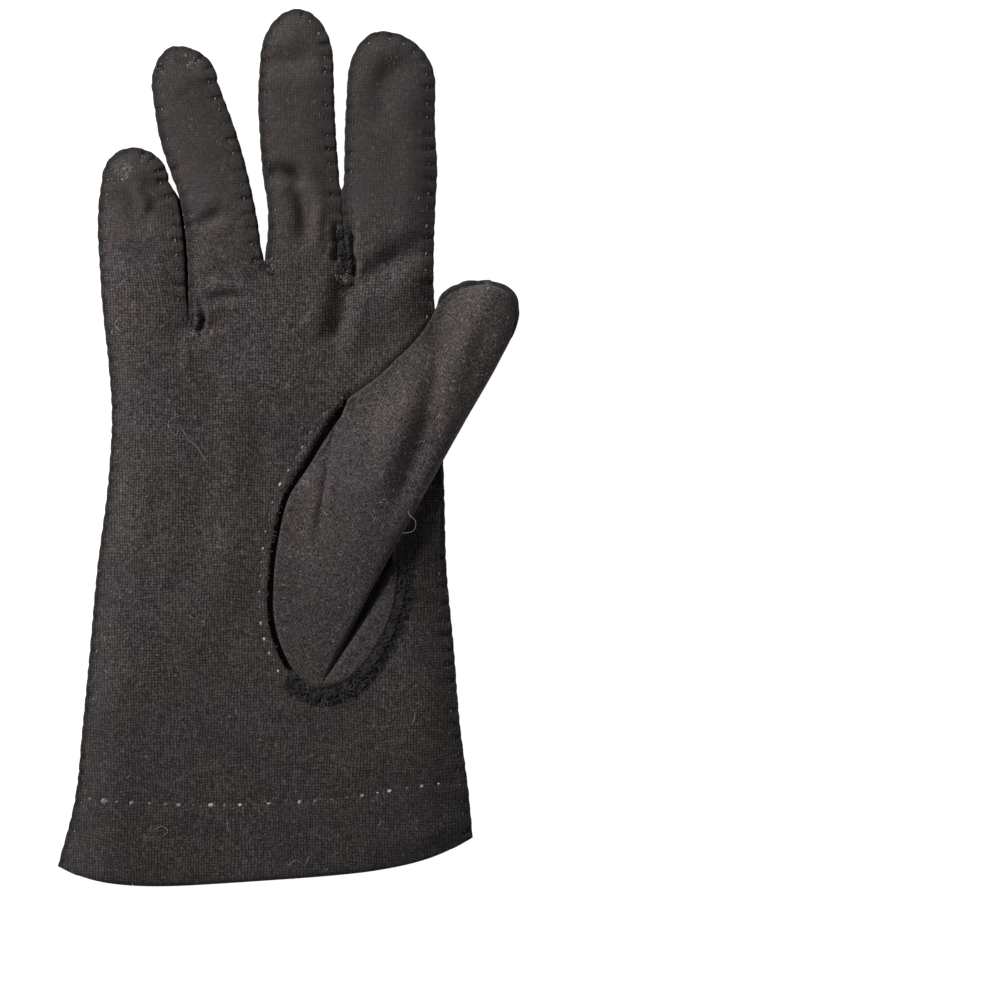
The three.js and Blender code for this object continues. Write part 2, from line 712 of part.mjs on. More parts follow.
// A point in the middle of the thumb's cloth; side is 1 in the upper layer and -1 in the lower one,
// and across runs from 0 at the seam to 1 at the fold.
function thumbPoint(side, across, along) {
  const bulge = (1 - Math.abs(1 - 2 * across) ** THUMB_BLUNTNESS) ** (1 / THUMB_BLUNTNESS);
  const foot = side > 0 ? upperFoot(across) : lowerFoot(across);
  const point = (side > 0 ? upperLayer : lowerLayer)(across, along);
  const edge = thumbFoot(foot);
  const low = palmTop(edge.x, edge.y) + holeValue(foot, 'level') + THUMB_COLLAR;
  const lift = THUMB_CLEARANCE + WALL / 2 + THUMB_HALF_DEPTH * (1 + side * bulge);
  point.z = lerp(low, thumbBed(point.x, point.y) + lift, smooth(along / THUMB_RISE_SHARE));
  return point;
}

// One closed ring: across the upper layer, then back across the lower one.
function thumbRing(along) {
  const upper = THUMB_ACROSS.map((across) => thumbPoint(1, across, along));
  const lower = THUMB_ACROSS.map((across) => thumbPoint(-1, across, along));
  return [...upper, ...lower.reverse().slice(1, -1)];
}

function thumbRings() {
  const collar = thumbRing(0);
  const foot = collar.map((point) => point.clone().setZ(point.z - THUMB_COLLAR));
  return [foot, collar, ...THUMB_RINGS.map(thumbRing)];
}

// The rings moved out along their own normals.
function offsetRings(rings, offset) {
  return rings.map((ring, j) => ring.map((point, i) => {
    const size = ring.length;
    const around = ring[(i + 1) % size].clone().sub(ring[(i + size - 1) % size]);
    const above = rings[Math.min(j + 1, rings.length - 1)][i];
    const below = rings[Math.max(j - 1, 0)][i];
    const normal = around.cross(above.clone().sub(below)).normalize();
    return point.clone().addScaledVector(normal, offset);
  }));
}

// Closes a ring whose second half runs back below its first.
function flatCap(ring, flip) {
  const index = [];
  for (let i = 0; i < ring.length / 2; i += 1) {
    const a = ring[i];
    const b = ring[i + 1];
    const c = ring[ring.length - i - 1];
    const d = ring[(ring.length - i) % ring.length];
    if (b !== c) index.push(...(flip ? [a, c, b] : [a, b, c]));
    if (a !== d) index.push(...(flip ? [a, d, c] : [a, c, d]));
  }
  return index;
}

// The tube: an outer and an inner skin, joined round the foot, each closed at the tip.
function thumbTube() {
  const rings = thumbRings();
  const outer = offsetRings(rings, WALL / 2);
  const inner = offsetRings(rings, -WALL / 2).slice(0, -2);
  const points = [...outer.flat(), ...inner.flat()];
  const size = rings[0].length;
  const label = (list, start) => list.map((ring, j) => ring.map((point, i) => start + j * size + i));
  const outerRings = label(outer, 0);
  const innerRings = label(inner, outer.length * size);
  const index = [
    ...skin(outerRings, false),
    ...skin(innerRings, true),
    ...skin([innerRings[0], outerRings[0]], false),
    ...flatCap(outerRings[outerRings.length - 1], false),
    ...flatCap(innerRings[innerRings.length - 1], true),
  ];
  return closedBody(points, index);
}

// Raw edges that stand out beside a line of points. Each section is a flat rectangle, a little into the
// wall behind the line and out to the width given for that point.
function edgeStrip(line, thickness) {
  const corners = [[0, -1], [1, -1], [1, 1], [0, 1]];
  const sections = line.map((place, i) => {
    const ahead = line[Math.min(i + 1, line.length - 1)].point;
    const behind = line[Math.max(i - 1, 0)].point;
    const outward = new THREE.Vector3(behind.y - ahead.y, ahead.x - behind.x, 0).normalize();
    return corners.map(([share, side]) => {
      const point = place.point.clone();
      point.addScaledVector(outward, lerp(-EDGE_OVERLAP, place.width, share));
      point.z += (side * thickness) / 2;
      return point;
    });
  });
  return sectionBody(sections, corners.map(([share, side]) => new THREE.Vector2(share, side)));
}

const edgeWidth = (share, width) => width * smooth(Math.min(share, 1 - share) / EDGE_TAPER);

// Along the stitched side, round the tip and a little way down the folded side.
function thumbEdgeLine() {
  const length = 1 - THUMB_EDGE_FROM;
  const whole = length + 1 - THUMB_EDGE_TO;
  const line = [];
  for (let i = 0; i <= EDGE_STEPS; i += 1) {
    const share = i / EDGE_STEPS;
    const run = share * whole;
    const across = run < length ? 0 : 1;
    const along = run < length ? (THUMB_EDGE_FROM + run) ** (1 / SEAM_PACE) : 1 - (run - length);
    line.push({ point: thumbPoint(1, across, along), width: edgeWidth(share, SEAM_ALLOWANCE) });
  }
  return line;
}

// Round the lower and the right part of the hole, where the edges lie over the palm.
function holeEdgeLine() {
  const line = [];
  for (let i = 0; i <= EDGE_STEPS; i += 1) {
    const share = i / EDGE_STEPS;
    const place = lerp(HOLE_FLANGE.lastRow, HOLE_FLANGE.firstRow, share) / THUMB_HOLE.length;
    const inset = holeValue(place, 'gap') + WALL / 2;
    const point = besideHole(place, -inset);
    const outer = besideHole(place, FLANGE_WIDTH);
    const palm = Math.max(palmTop(outer.x, outer.y), palmTop(point.x, point.y));
    point.z = palm + FLANGE_CLEARANCE + WALL / 2;
    line.push({ point, width: inset + edgeWidth(share, FLANGE_WIDTH) });
  }
  return line;
}

function makeThumb() {
  const tube = toSolid(thumbTube());
  const seamEdges = toSolid(edgeStrip(thumbEdgeLine(), EDGE_THICKNESS));
  const holeEdges = toSolid(edgeStrip(holeEdgeLine(), WALL));
  return toGeometry(tube.add(seamEdges).add(holeEdges));
}

function makePalmPanel() {
  const panel = toSolid(slab(panelGrid(PALM_GRID), palmBottom, palmTop));
  return toGeometry(panel.subtract(toSolid(holeCutter())));
}

function makeBackPanel() {
  return slab(panelGrid(BACK_GRID), backBottom, backTop);
}

// Assembly

const glove = new THREE.Group();

function addPiece(name, geometry, color) {
  const material = new THREE.MeshStandardMaterial({ color, roughness: 0.95, metalness: 0 });
  const mesh = new THREE.Mesh(geometry, material);
  mesh.name = name;
  glove.add(mesh);
}

addPiece('palm_panel', makePalmPanel(), COLOURS.palm);
addPiece('back_panel', makeBackPanel(), COLOURS.back);
for (let i = 1; i < FINGERS.length; i += 1) {
  const name = `fourchette_${FINGERS[i - 1].name}_${FINGERS[i].name}`;
  addPiece(name, makeFourchette(FINGERS[i - 1], FINGERS[i]), COLOURS.fourchette);
}
addPiece('thumb', makeThumb(), COLOURS.thumb);
addPiece('palm_hem', makePalmHem(), COLOURS.hem);
addPiece('back_hem', makeBackHem(), COLOURS.hem);

export default glove;
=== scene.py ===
# Looks of a short knitted evening glove for the right hand, lying palm up.
import math
from functools import lru_cache

import bpy
import numpy as np
from bpy.props import FloatProperty, FloatVectorProperty, IntProperty, PointerProperty
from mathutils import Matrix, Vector
from mathutils.geometry import delaunay_2d_cdt
from mathutils.kdtree import KDTree


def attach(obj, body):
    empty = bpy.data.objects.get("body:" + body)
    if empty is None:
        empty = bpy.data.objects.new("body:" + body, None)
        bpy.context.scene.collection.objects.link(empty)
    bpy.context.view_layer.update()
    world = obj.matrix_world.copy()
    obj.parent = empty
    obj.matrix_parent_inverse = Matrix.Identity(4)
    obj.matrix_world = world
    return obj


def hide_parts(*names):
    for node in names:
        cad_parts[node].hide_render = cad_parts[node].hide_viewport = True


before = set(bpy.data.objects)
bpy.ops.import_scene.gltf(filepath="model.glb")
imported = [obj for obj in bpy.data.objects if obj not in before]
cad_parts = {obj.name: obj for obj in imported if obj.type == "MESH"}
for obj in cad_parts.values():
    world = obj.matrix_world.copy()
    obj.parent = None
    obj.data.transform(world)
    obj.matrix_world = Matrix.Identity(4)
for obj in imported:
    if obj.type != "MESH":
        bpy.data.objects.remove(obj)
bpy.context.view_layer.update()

bl_info = {
    "name": "Evening Glove",
    "version": (1, 0, 0),
    "blender": (4, 5, 0),
    "location": "3D Viewport > Sidebar > Glove",
    "description": "Sews a short knitted evening glove round its packed frame",
    "category": "Object",
}

# Lengths in the tables and functions are in millimetres; meshes are made in metres.
MM = 0.001

# Cloth and seams
WALL = 1.1  # double knit
CLEARANCE = 0.3  # between two layers of the frame that touch
LAYER_GAP = 0.06  # between two layers that a stitch draws together
SEAM_ALLOWANCE = 2.0  # raw edge left outside the stitch line
THUMB_ALLOWANCE = 1.7  # and outside the thumb's
SIDE_SEAM_Z = 3.6
PALM_SEAM_RISE = 2.0
BACK_SEAM_DROP = 2.05
BACK_ROLL = 7.0
EDGE_ROUNDING = 0.35  # width over which a raw edge thins
EDGE_THINNING = 0.22
EDGE_BULGE = 0.16
STEEPEST = 0.4  # least cosine of a slope, or a steep wall would come out too deep
STRIP_END, STRIP_CAP = 0.6, 0.15  # share of its wall that a strip's end keeps, and bulges by
FRAY = 0.045  # how unevenly the raw edges were cut

# Puckers that each stitch makes
DIMPLE_DEPTH = 0.4
DIMPLE_REACH = 0.75
SEAM_VALLEY = 0.05
PULL_DEPTH = 0.3
PULL_REACH = 2.4
TICK_DEPTH = 0.34  # of the groove from a stitch out to the raw edge
TICK_REACH = 0.5
EDGE_LIFT = 0.08
EDGE_SCALLOP = 0.13
STITCH_DRIFT = 0.6  # how unevenly a hand spaces its stitches
STITCH_LIFT = 0.02  # of a stitch's middle over the cloth
STITCH_CLEAR = 0.8  # share of the allowance that every stitch keeps from a raw edge
PULL_RANGE = (0.2, 1.45)  # how hard it draws them
PULL_BREADTH = 0.6
TICK_FADE = 0.6
BETWEEN_REACH = 1.2  # how near to a stitch the raw edge stays down
SCALLOP_REACH = 1.0
SCALLOP_DEPTH = 2.6  # how far in from the raw edge the cloth is drawn
ROLL_START = 0.7  # the cloth begins to rise this far inside its raw edge
PAINTED_SEAM_SHADE = 0.8  # painted shade: how much the raw edges are darkened where the cloth rolls down into shade at its seam
PAINTED_SEAM_SHADE_REACH = 2.8
SHADE_BETWEEN = 0.6  # share of that painted shade left between two stitches; it is deepest in the pucker at each stitch
SHADE_WIDTH = 0.8
CUFF_SHADE = 0.6  # the same painted shade where the cuff's fold rolls under
CUFF_SHADE_REACH = 2.6

# Hem
HEM_DEPTH_SHARE = 0.137
HEM_SIDE_SHARE = 0.045
HEM_STEP = 0.22  # the double layer stands this much higher
HEM_GROOVE = 0.4
HEM_VALLEY = 0.16  # the groove between two of its stitches
HEM_GROOVE_REACH = (0.9, 0.8)  # along the row and across it
HEM_RISE = 1.2  # width over which the double layer begins
HEM_CORNER = 0.01  # share of the cuff over which it ends beside a side seam
HEM_ROUNDNESS = 4
FOLD_WIDTH = 1.0  # of the folded edge at the cuff, palm and back
FOLD_RADIUS = 0.9  # width over which that edge rounds off
FOLD_DROP = 0.75  # share of the wall that it rounds off by
FOLD_THINNEST = 0.35  # share of the wall left at its rim
HEM_ROWS, HEM_COLUMNS = 22, 150  # of its mesh
HEM_SPACE = 1.05  # walls from a panel's face to the band behind it

# Where wear has felted the knit of the fingers, up from the cuff, and how much of the ribs is left
FELTED_FROM = 44.0
FELTED_TO = 68.0
FELTED_RIB = 0.5
FELTED_TONE = 0.65
COURSE_PITCH = 0.96  # of the rib pitch
LOOP_SHADE = 0.6  # how much the loops differ
CUFF_DARKENING = (-105.0, -25.0)  # y over which the knit grows darker towards the cuff
CUFF_DARKENING_TONE = 0.75
TIP_FROM, TIP_TO = 43.0, 54.0  # x over which the thumb's tip grows paler
TIP_TONE = 1.3

# Noises of the knit: size of the lumps in metres, detail, roughness, seed, the range that is stretched,
# and what it is stretched to where that is the same for every piece.
KNIT_NOISES = {
    "uneven": (0.0042, 3.0, 0.6, 3.0, 0.35, 0.65, 0.72, 1.1),
    "yarn": (0.0005, 2.0, 0.7, 1.0, 0.3, 0.7),
    "ends": (0.0012, 2.0, 0.6, 2.0, 0.6, 0.74),
    "worn": (0.03, 4.0, 0.55, 4.0, 0.36, 0.64, 0.84, 1.18),
    "brown": (0.014, 3.0, 0.5, 5.0, 0.52, 0.74, 0.0, 0.45),
    "purple": (0.02, 3.0, 0.5, 6.0, 0.45, 0.66, 0.0, 0.75),
}
KNIT_TONE = 1.33  # of the dye between the lines, before what follows
YARN_TONE = 0.85
ENDS_TONE = 1.2
LINE_TONE = 0.95
LEAST_TONE = 0.12
COURSE_WEIGHT = 0.75  # how dark the lines between the courses are beside those between the ribs
LOOP_DRIFT = 0.0016  # how far the ribs wander, in metres, over lumps of this size
LOOP_DRIFT_SIZE = 0.008
BROWN_TINT = (1.16, 0.98, 0.84)
PURPLE_TINT = (0.97, 0.92, 1.14)
YARN_RELIEF = 0.35  # share of the yarn's unevenness that stands up
KNIT_RELIEF = 0.00012  # in metres

# Thread and loose fibres: lengths in metres of a pale stretch and of one turn of the twist. On the stitches
# the pale stretches and the thread's pale colour are painted highlight, standing in for the sheen of black
# thread.
PALE_STRETCH_LENGTH = 0.0026
PALE_STRETCH_RANGE = 0.2
TWIST_LENGTH = 0.0004
TWIST_SHADES = (0.3, 0.7, 0.75, 1.25)  # range of its noise, and the tones it is stretched to

# Stage, in metres
FLOOR_REACH, FLOOR_LEVEL = 3.0, -0.0001
BOX_SIZE, BOX_PLACE = 0.28, (-0.5, 0.5, 0.5)
CAMERA_PLACE = (0.0575, -0.0147, 1.1)
GLOVE_MIDDLE = 0.007  # height at which the frame is as wide as the next number
FRAME_WIDTH = 0.27
SENSOR_WIDTH = 36.0  # in millimetres
CLIP_RANGE = (0.05, 20)

# Fourchettes
FORK_WALL = 1.0
FORK_TAPER = 24.0
FORK_END_SHARE = 0.66
FORK_RECESS = 0.35
FORK_BOW = 0.5
FORK_CLOTH = 12  # width of the strip as it was cut
FORK_BEND = 0.45  # height over which it turns from its raw edge into its wall
FORK_STEPS, CROTCH_STEPS, FORK_PROBES = 60, 14, 400

# Meshes
SPLINE_STEPS = 24
TIP_STEPS = 40
OUTLINE_SPACING = 0.45
EDGE_RINGS = (0.3, 0.8, 1.3, 1.7, 2.0, 2.35, 2.8, 3.4, 4.1)
HOLE_RINGS = (0.35, 0.9, 1.5, 2.0, 2.6, 3.4)
CUFF_RINGS = (0.3, 0.8, 1.05, 1.3, 2.2)
PALM_SPACING = 1.05
BACK_SPACING = 1.7
CREASE_SPACING = 0.5  # beside the sharp creases
CREASE_MARGIN = 2.6
SHARP_CREASE = 1.45  # a crease narrower than this is sharp
THINNER_FROM = 2.5  # rings further in have half the points
CLEAR_SHARE = 0.97  # of a ring's offset that its points keep from every part of the seam
FAN_ANGLES = np.arange(-160, -15, 12)  # of the points below a crotch
GRID_BOX = (-66, 54, -124, 120)  # least and most x, least and most y
FIELD_CLEAR, HOLE_CLEAR = 0.5, 0.4  # of its spacing that a grid keeps from the rings
CUFF_CLEAR = 0.35  # that the rings keep from the cuff
GRID_ROWS = 0.866  # of the spacing, from row to row

# Soft waves of the cloth: height, wavelength and seed
PALM_RIPPLES = ((0.16, 30, 3), (0.05, 9, 4))
THUMB_RIPPLES = ((0.12, 14, 71), (0.05, 5, 72))
GRAIN_RIPPLES = ((0.35, 22, 61), (0.35, 18, 62))  # how the ribs wander, across and along

# How far in from the seam each begins, and the width over which it reaches its full height
RIPPLE_START, RIPPLE_RISE = 3, 8
CREASE_START, CREASE_RISE = 0.5, 1.5
HEM_SIDE_RISE = 1.5

# Creases
CREASE_FADE = 0.25  # share of its length over which a crease ends
CREASE_SHOULDER = 0.3  # height of the soft ridge on each side of it

# Seeds that set each row of stitches
SEAM_SEED, HEM_SEED, HOLE_SEED, THUMB_SEED, FLANGE_SEED = 11, 23, 31, 41, 51
STITCH_SIZE_SEED = 5


def table(columns, *rows):
    """Named columns of numbers."""
    return dict(zip(columns.split(), np.array(rows, float).T))


# Rows across the hand, from the cuff to the finger roots, and rows up each finger.
HAND_ROWS = table(
    "left_x left_y right_x right_y",
    (-62.1, -113.9, 50.0, -106.1),
    (-57.5, -95.9, 48.9, -94.0),
    (-55.4, -76.0, 46.5, -75.0),
    (-53.4, -55.0, 44.9, -55.0),
    (-51.4, -33.0, 42.9, -33.0),
    (-48.6, -11.0, 42.3, -12.0),
    (-47.5, 8.0, 41.5, 8.0),
    (-48.4, 22.0, 40.3, 26.0),
    (-49.4, 31.1, 39.4, 43.2),
)
CUFF_SAG = 7.2
LEAN_RISE = 20  # length over which a finger's ribs begin to lean


def finger_table(name, tip, lean, *rows):
    """A finger by its tip, the lean of its ribs and the rows up its two sides."""
    return {"name": name, "tip": tip, "lean": lean, "rows": table("left_x left_y right_x right_y", *rows)}


FINGERS = (
    finger_table(
        "little", (-41.9, 80.5), 0.1,
        (-49.4, 31.1, -26.4, 32.4),
        (-50.2, 39.2, -27.5, 41.5),
        (-50.8, 48.6, -27.8, 49.8),
        (-51.3, 58.1, -28.5, 58.0),
        (-51.0, 66.2, -29.9, 66.0),
        (-50.2, 71.6, -32.4, 71.6),
    ),
    finger_table(
        "ring", (-30.0, 108.0), 0.25,
        (-26.4, 32.4, -6.2, 48.9),
        (-26.6, 42.0, -7.4, 53.5),
        (-26.9, 52.0, -8.2, 59.5),
        (-28.7, 66.2, -9.8, 68.0),
        (-31.2, 73.0, -12.2, 78.0),
        (-34.4, 83.0, -14.6, 86.0),
        (-36.7, 97.2, -19.2, 98.6),
    ),
    finger_table(
        "middle", (2.7, 118.0), 0.03,
        (-6.2, 48.9, 16.7, 44.3),
        (-5.2, 57.0, 15.2, 54.5),
        (-5.2, 64.5, 14.2, 64.5),
        (-6.5, 73.0, 13.7, 73.5),
        (-7.3, 83.0, 12.9, 84.0),
        (-7.8, 94.0, 12.4, 95.0),
        (-7.3, 103.5, 12.2, 103.5),
    ),
    finger_table(
        "index", (25.4, 112.0), 0.0,
        (16.7, 44.3, 39.4, 43.2),
        (16.2, 54.5, 39.5, 53.5),
        (15.3, 65.0, 39.9, 64.5),
        (15.5, 75.0, 40.4, 75.0),
        (15.7, 86.0, 39.8, 86.0),
        (16.3, 97.5, 39.9, 97.5),
    ),
)

# Height of the palm side, and the width over which it rolls up from its seam.
LOFT = table(
    "y top roll",
    (-118, 11.6, 13),
    (-60, 10.8, 11),
    (0, 10.4, 10),
    (30, 9.6, 8),
    (55, 8.6, 7),
    (118, 8.0, 6.5),
)

# Soft dents of the palm side.
FOLDS = table(
    "x y turn length width depth",
    (32, -8, 62, 44, 26, 2.3),
    (15.5, 33, 80, 15, 4.5, 1.5),
    (28, 50, 25, 12, 5, 0.9),
    (1, 73, -20, 9, 3.5, 0.8),
    (4.6, 62, 96, 12, 3.5, 0.9),
    (-20, 61, 20, 10, 4.5, 0.6),
    (-19, 33, 25, 12, 4.5, 0.7),
    (30, 100, 40, 14, 10, 1.4),
    (1, 104, 0, 8, 6, 0.5),
    (-12, -45, 75, 42, 12, 0.7),
)

FLUSH_GROOVE = 1.8  # of the palm, below the thumb's stitched side

# Sharper creases of the palm side: half width, depth, and the points that each one runs through.
# A depth below 0 is a ridge.
PALM_CREASES = (
    (2.0, 1.9, ((-5.8, 74.2), (-3.4, 74), (-0.6, 73.4), (2, 72.2), (4.2, 69))),
    (2.4, 1.9, ((-2.4, 74.6), (1.6, 72.8), (3.8, 67.6), (4.6, 60.4), (4.8, 51))),
    (1.2, -0.5, ((8.6, 65.5), (8.3, 59), (8, 53.5))),
    (0.75, 1.5, ((13.4, 60.5), (12.9, 57), (13.6, 54), (12.9, 51), (14.3, 48))),
    (1.1, 2.5, ((15.9, 59.5), (17.5, 56), (17.1, 52.6), (18.2, 49.2), (17.4, 46.4), (17.2, 43))),
    (1.0, -0.55, ((15.0, 62), (15.6, 56.6), (15.1, 51.6), (15.9, 46.4))),
    (2.8, 2.2, ((17, 48), (15.4, 41), (13.8, 34), (11.4, 25))),
    (3.4, 1.7, ((38.5, 54), (34, 52.4), (30, 50.2), (26, 47.6), (22, 44.6), (18, 41.4))),
    (1.9, 1.0, ((-16, 63.2), (-20, 61.4), (-25, 58))),
    (0.8, 1.0, ((-5.2, 49.2), (-4.0, 46.4), (-2.0, 43.4))),
    (1.4, 1.0, ((-24, 38.2), (-19, 39.5), (-14, 39.9), (-9.5, 39.4))),
    (0.8, 1.6, ((-24.6, 39.8), (-22.8, 37), (-22.6, 33.4), (-24.2, 30.2))),
    (0.9, -1.0, ((-25.9, 37.4), (-24.4, 35.6), (-24.2, 33), (-25.6, 30.6))),
    (0.9, 0.6, ((-22.0, 33), (-19, 31.8), (-15.5, 31.4))),
    (1.1, -0.6, ((-27.2, 31), (-26.9, 25), (-26.5, 19.5))),
    (1.3, -0.9, ((-41.5, 71), (-39.4, 67), (-37, 62.6))),
    (3.0, 1.0, ((35.5, 100.4), (32, 102.2), (28.4, 101.4), (25.8, 97.6), (25, 91), (24.8, 84))),
    (2.6, 1.0, ((20, -114), (32, -112), (42, -109), (52, -104))),
    (3.0, 1.2, ((-5.6, 105.6), (-1, 104), (4, 104), (8, 106))),
    (2.8, 1.0, ((-35.4, 103), (-31, 101.6), (-27, 102.4), (-23, 100))),
    (3.0, 0.5, ((18, 27), (20.4, 17), (19, 6))),
    (4.6, 0.8, ((-22.5, 24), (-21, 0), (-23, -28), (-24, -46))),
    (4.0, 0.6, ((-5, 22), (-7.5, 0), (-9, -22))),
    (3.6, 0.4, ((-8, -72), (6, -78), (24, -80))),
    (3.0, 0.35, ((36, -52), (35, -68), (37, -86))),
    (3.2, 1.7, ((-50, 68.5), (-45.5, 65.5), (-40, 61.4), (-34, 60.4))),
    (2.0, 1.2, ((-49, 73), (-45, 70.6), (-42, 66), (-40, 62))),
    (2.0, FLUSH_GROOVE, (
        (17, 8), (20.6, 12.4), (25.6, 15.8), (30.9, 20.6), (36, 25.5), (41.4, 31.4), (45, 36),
    )),
    (3.0, 2.6, ((40.4, -2), (38.6, -9), (36.4, -16), (33.4, -22.5), (31.4, -29), (30.6, -35))),
    (2.2, 0.5, ((-12, 46), (-17, 47), (-22, 45))),
)

# Slits between fingers that lie against each other: how high they close, and the gap that is left
# between the palm's two raw edges and between the back's.
SLITS = table(
    "crotch top palm_gap back_gap",
    (1, 70.0, 1.0, 0.1),
    (3, 71.0, 0.12, 0.1),
)
SLIT_FADE = 3.0
SLIT_REACH, SLIT_HALF = 4, 4.5  # how far from the seam, and from the slit's middle, the cloth moves
BARE_SLIT = ((10.0, 20.0), (43.0, 67.0))  # x and y where a pleat hides the stitches

# The thumb hole, anticlockwise from the upper end of its slit: gap is the space between its edge and
# the thumb piece, level the height of the thumb's lower edge above the palm's face.
THUMB_HOLE = table(
    "x y gap level",
    (17.0, 13.0, 0.5, -0.3),
    (12.6, 9.0, 2.6, -0.9),
    (3.9, -5.4, 2.0, -0.9),
    (-0.8, -13.5, 1.6, -0.9),
    (-3.6, -24.0, 1.7, -0.9),
    (-5.1, -36.5, 1.7, -0.9),
    (-4.9, -47.5, 1.7, -0.9),
    (-2.2, -56.6, 1.7, -0.7),
    (2.7, -63.8, 1.5, -0.5),
    (8.4, -66.6, 0.9, -0.4),
    (16.5, -64.0, 0.4, -0.4),
    (23.6, -56.5, 0.4, -0.4),
    (29.0, -45.0, 0.4, -0.4),
    (30.2, -33.5, 0.4, -0.4),
    (28.0, -22.0, 0.4, -0.4),
    (24.4, -9.5, 0.4, -0.4),
    (20.3, 8.4, 0.4, -0.4),
)
HOLE_ROWS = len(THUMB_HOLE["x"])
HOLE_BOTTOM = 9 / HOLE_ROWS  # where the thumb's fold meets the hole
HOLE_FLANGE = (7.8 / HOLE_ROWS, 13.0 / HOLE_ROWS)  # where the raw edges lie out over the palm
HOLE_LIP = (0.3 / HOLE_ROWS, 8.8 / HOLE_ROWS)  # where the palm's raw edge lies over the thumb
LIP_ROW = (HOLE_LIP[0] + 0.04, HOLE_LIP[1] + 0.01)  # where its stitches show
HOLE_CURL = (0.12 / HOLE_ROWS, 2.6 / HOLE_ROWS)  # where that raw edge has curled up and frayed
CREVICE_DEPTH = 5.0
SPAN_FADE = 0.03  # share of the hole's edge over which one of these ends
FLANGE_SPAN_FADE = 0.05
LIP_WIDEST = (1.6 / HOLE_ROWS, 0.06)  # where the lip stands highest, and for how long
LIP_LIFT, LIP_WIDEST_LIFT, LIP_REACH = 0.35, 0.5, 1.3
LIP_PUCKER = 0.75  # beside that of the outer seams
FLANGE_LIFT, FLANGE_REACH = 0.45, 1.2

# The thumb's stitched side and its folded side, from the hole to the tip.
THUMB_SEAM = (
    (23.9, 17.2), (29.2, 22.1), (34.2, 27.1), (38.9, 33.7), (42.2, 39.2), (47.1, 42.3), (53.6, 43.2),
)
THUMB_FOLD = (
    (12.2, -57.4), (22.8, -38.2), (35.6, -15.0), (47.6, 6.5),
    (56.9, 22.9), (60.9, 32.0), (60.1, 40.1), (53.6, 43.2),
)
THUMB_AXIS = (0.475, 0.88)
THUMB_HALF_DEPTH = 3.4
THUMB_RISE_SHARE = 0.42
THUMB_CLEARANCE = 0.5
THUMB_COLLAR = 1.2
THUMB_FOLLOW = 0.75
FLUSH_REACH = 0.3  # share of its width over which the thumb rises from the palm
FLUSH_EDGE = -0.3  # its stitched side's height over the palm
THUMB_DROOP = 0.2
THUMB_RINGS = 170
THUMB_COLUMNS = 56
THUMB_LAST_RING = 0.992
THUMB_PACE = 0.92  # its rings lie a little closer towards the tip
INNER_SHORTER = 6  # rings by which its inner skin ends below the tip
TIP_ROUNDNESS = 2.4
THUMB_FLAT = 0.7  # share of its roundness at which its creases are at their full depth
THUMB_PINCH = 0.25  # share of its roundness below which its two layers close up
THUMB_WEDGE = 0.5  # share of its width over which it opens from its stitched side
THUMB_CLIMB = 0.6  # share of its width over which it rises to its full height
GROOVE_PACE = 1.4  # how much sooner the groove beside that side ends than the flush part
FOLD_BATCH = 4000  # points that are measured from its fold at a time
THUMB_TIP_FROM = 0.84  # share of its length at which the tube begins to close
SEAM_PACE = 1.5
UPPER_FADE = 6
LOWER_FADE = 10
TRENCH_DEPTH = 6.0  # the pleat under the thumb's fold
TRENCH_START = 0.0  # share of the fold where the cloth begins to sink
TRENCH_SLOPE = 0.05
TRENCH_WIDTH = (1.6, 20.0, 6.2)  # at the fold's foot, its growth up the fold, and its most
TRENCH_WALL = 2.2
TRENCH_RIM = 0.05  # share of the thumb's width over which it begins below the fold
TRENCH_END = (0.25, 0.36)  # share of the fold over which the pleat closes
THUMB_EDGE = (0.66, 0.8)  # where the raw edges start on the stitched side and end on the folded one
THUMB_EDGE_FADE = 0.26  # share of them over which they taper at each end
THUMB_EDGE_STEPS = 161
THUMB_EDGE_WALL = 0.82
THUMB_EDGE_LIFT = 0.46  # how far each of the two lies from the seam's own height
THUMB_EDGE_PLAY = 0.1  # how much they waver, sink at a stitch and part between two
THUMB_STRIPS, THUMB_WAVE = ((1, 43), (-1, 44)), 5  # side and seed of each, and length of its waves
FLANGE_STEPS = 140
FLANGE_FADE = 0.1
FLANGE_STRIPS = ((0.85, 0.45, 1.7, 53), (0.35, 0.5, 3.0, 54))  # height, wall, reach and seed
FLANGE_WAVE = 1.9  # length of their waves, which are this wide and high
FLANGE_WAVER = (0.24, 0.12)
FLANGE_SINK = 0.3  # how far a stitch draws them in and down
FLANGE_END, FLANGE_END_DROP = 0.15, 0.5  # share of their width left at their ends, and how low these lie
CURL_STEPS = 110
CURL_FADE = 0.3
CURL_WALL = 0.55
CURL_WAVES = ((1.7, 57), (6, 58))  # length and seed of its fray and of its curl
ALLOWANCE_STEPS = 150
ALLOWANCE_FADE = 0.06
ALLOWANCE_WALL = 0.9
RIM_PROBE = 1.6  # how far out the palm's height is also read

# Creases of the thumb's upper layer.
THUMB_CREASES = (
    (3.1, 2.0, (
        (45.4, 43), (43.6, 33), (41.6, 23), (39.4, 13.5), (36.6, 4), (33.8, -5), (30.4, -16), (28, -24),
    )),
    (1.1, 0.9, ((14.6, 12), (13, 5), (11.8, -1), (11, -8), (10, -15), (9, -22), (7.8, -31))),
    (2.4, -0.5, ((49, 39), (47, 30), (44.6, 21), (42, 13), (38.6, 4))),
    (2.2, 0.35, ((26, 14), (24, 6), (22.6, -3), (21, -12))),
    (2.6, 0.3, ((2, -22), (3.4, -34), (6, -46))),
    (2.2, 0.3, ((51, 34), (53.4, 30), (54.6, 25))),
)

# The hem's stitch row across the palm.
HEM_STITCHES = (
    (-55.2, -95.4), (-46.2, -96.1), (-28.9, -96.9), (-12.7, -96.9),
    (11.1, -95.6), (31.3, -92.6), (46.6, -90.6),
)

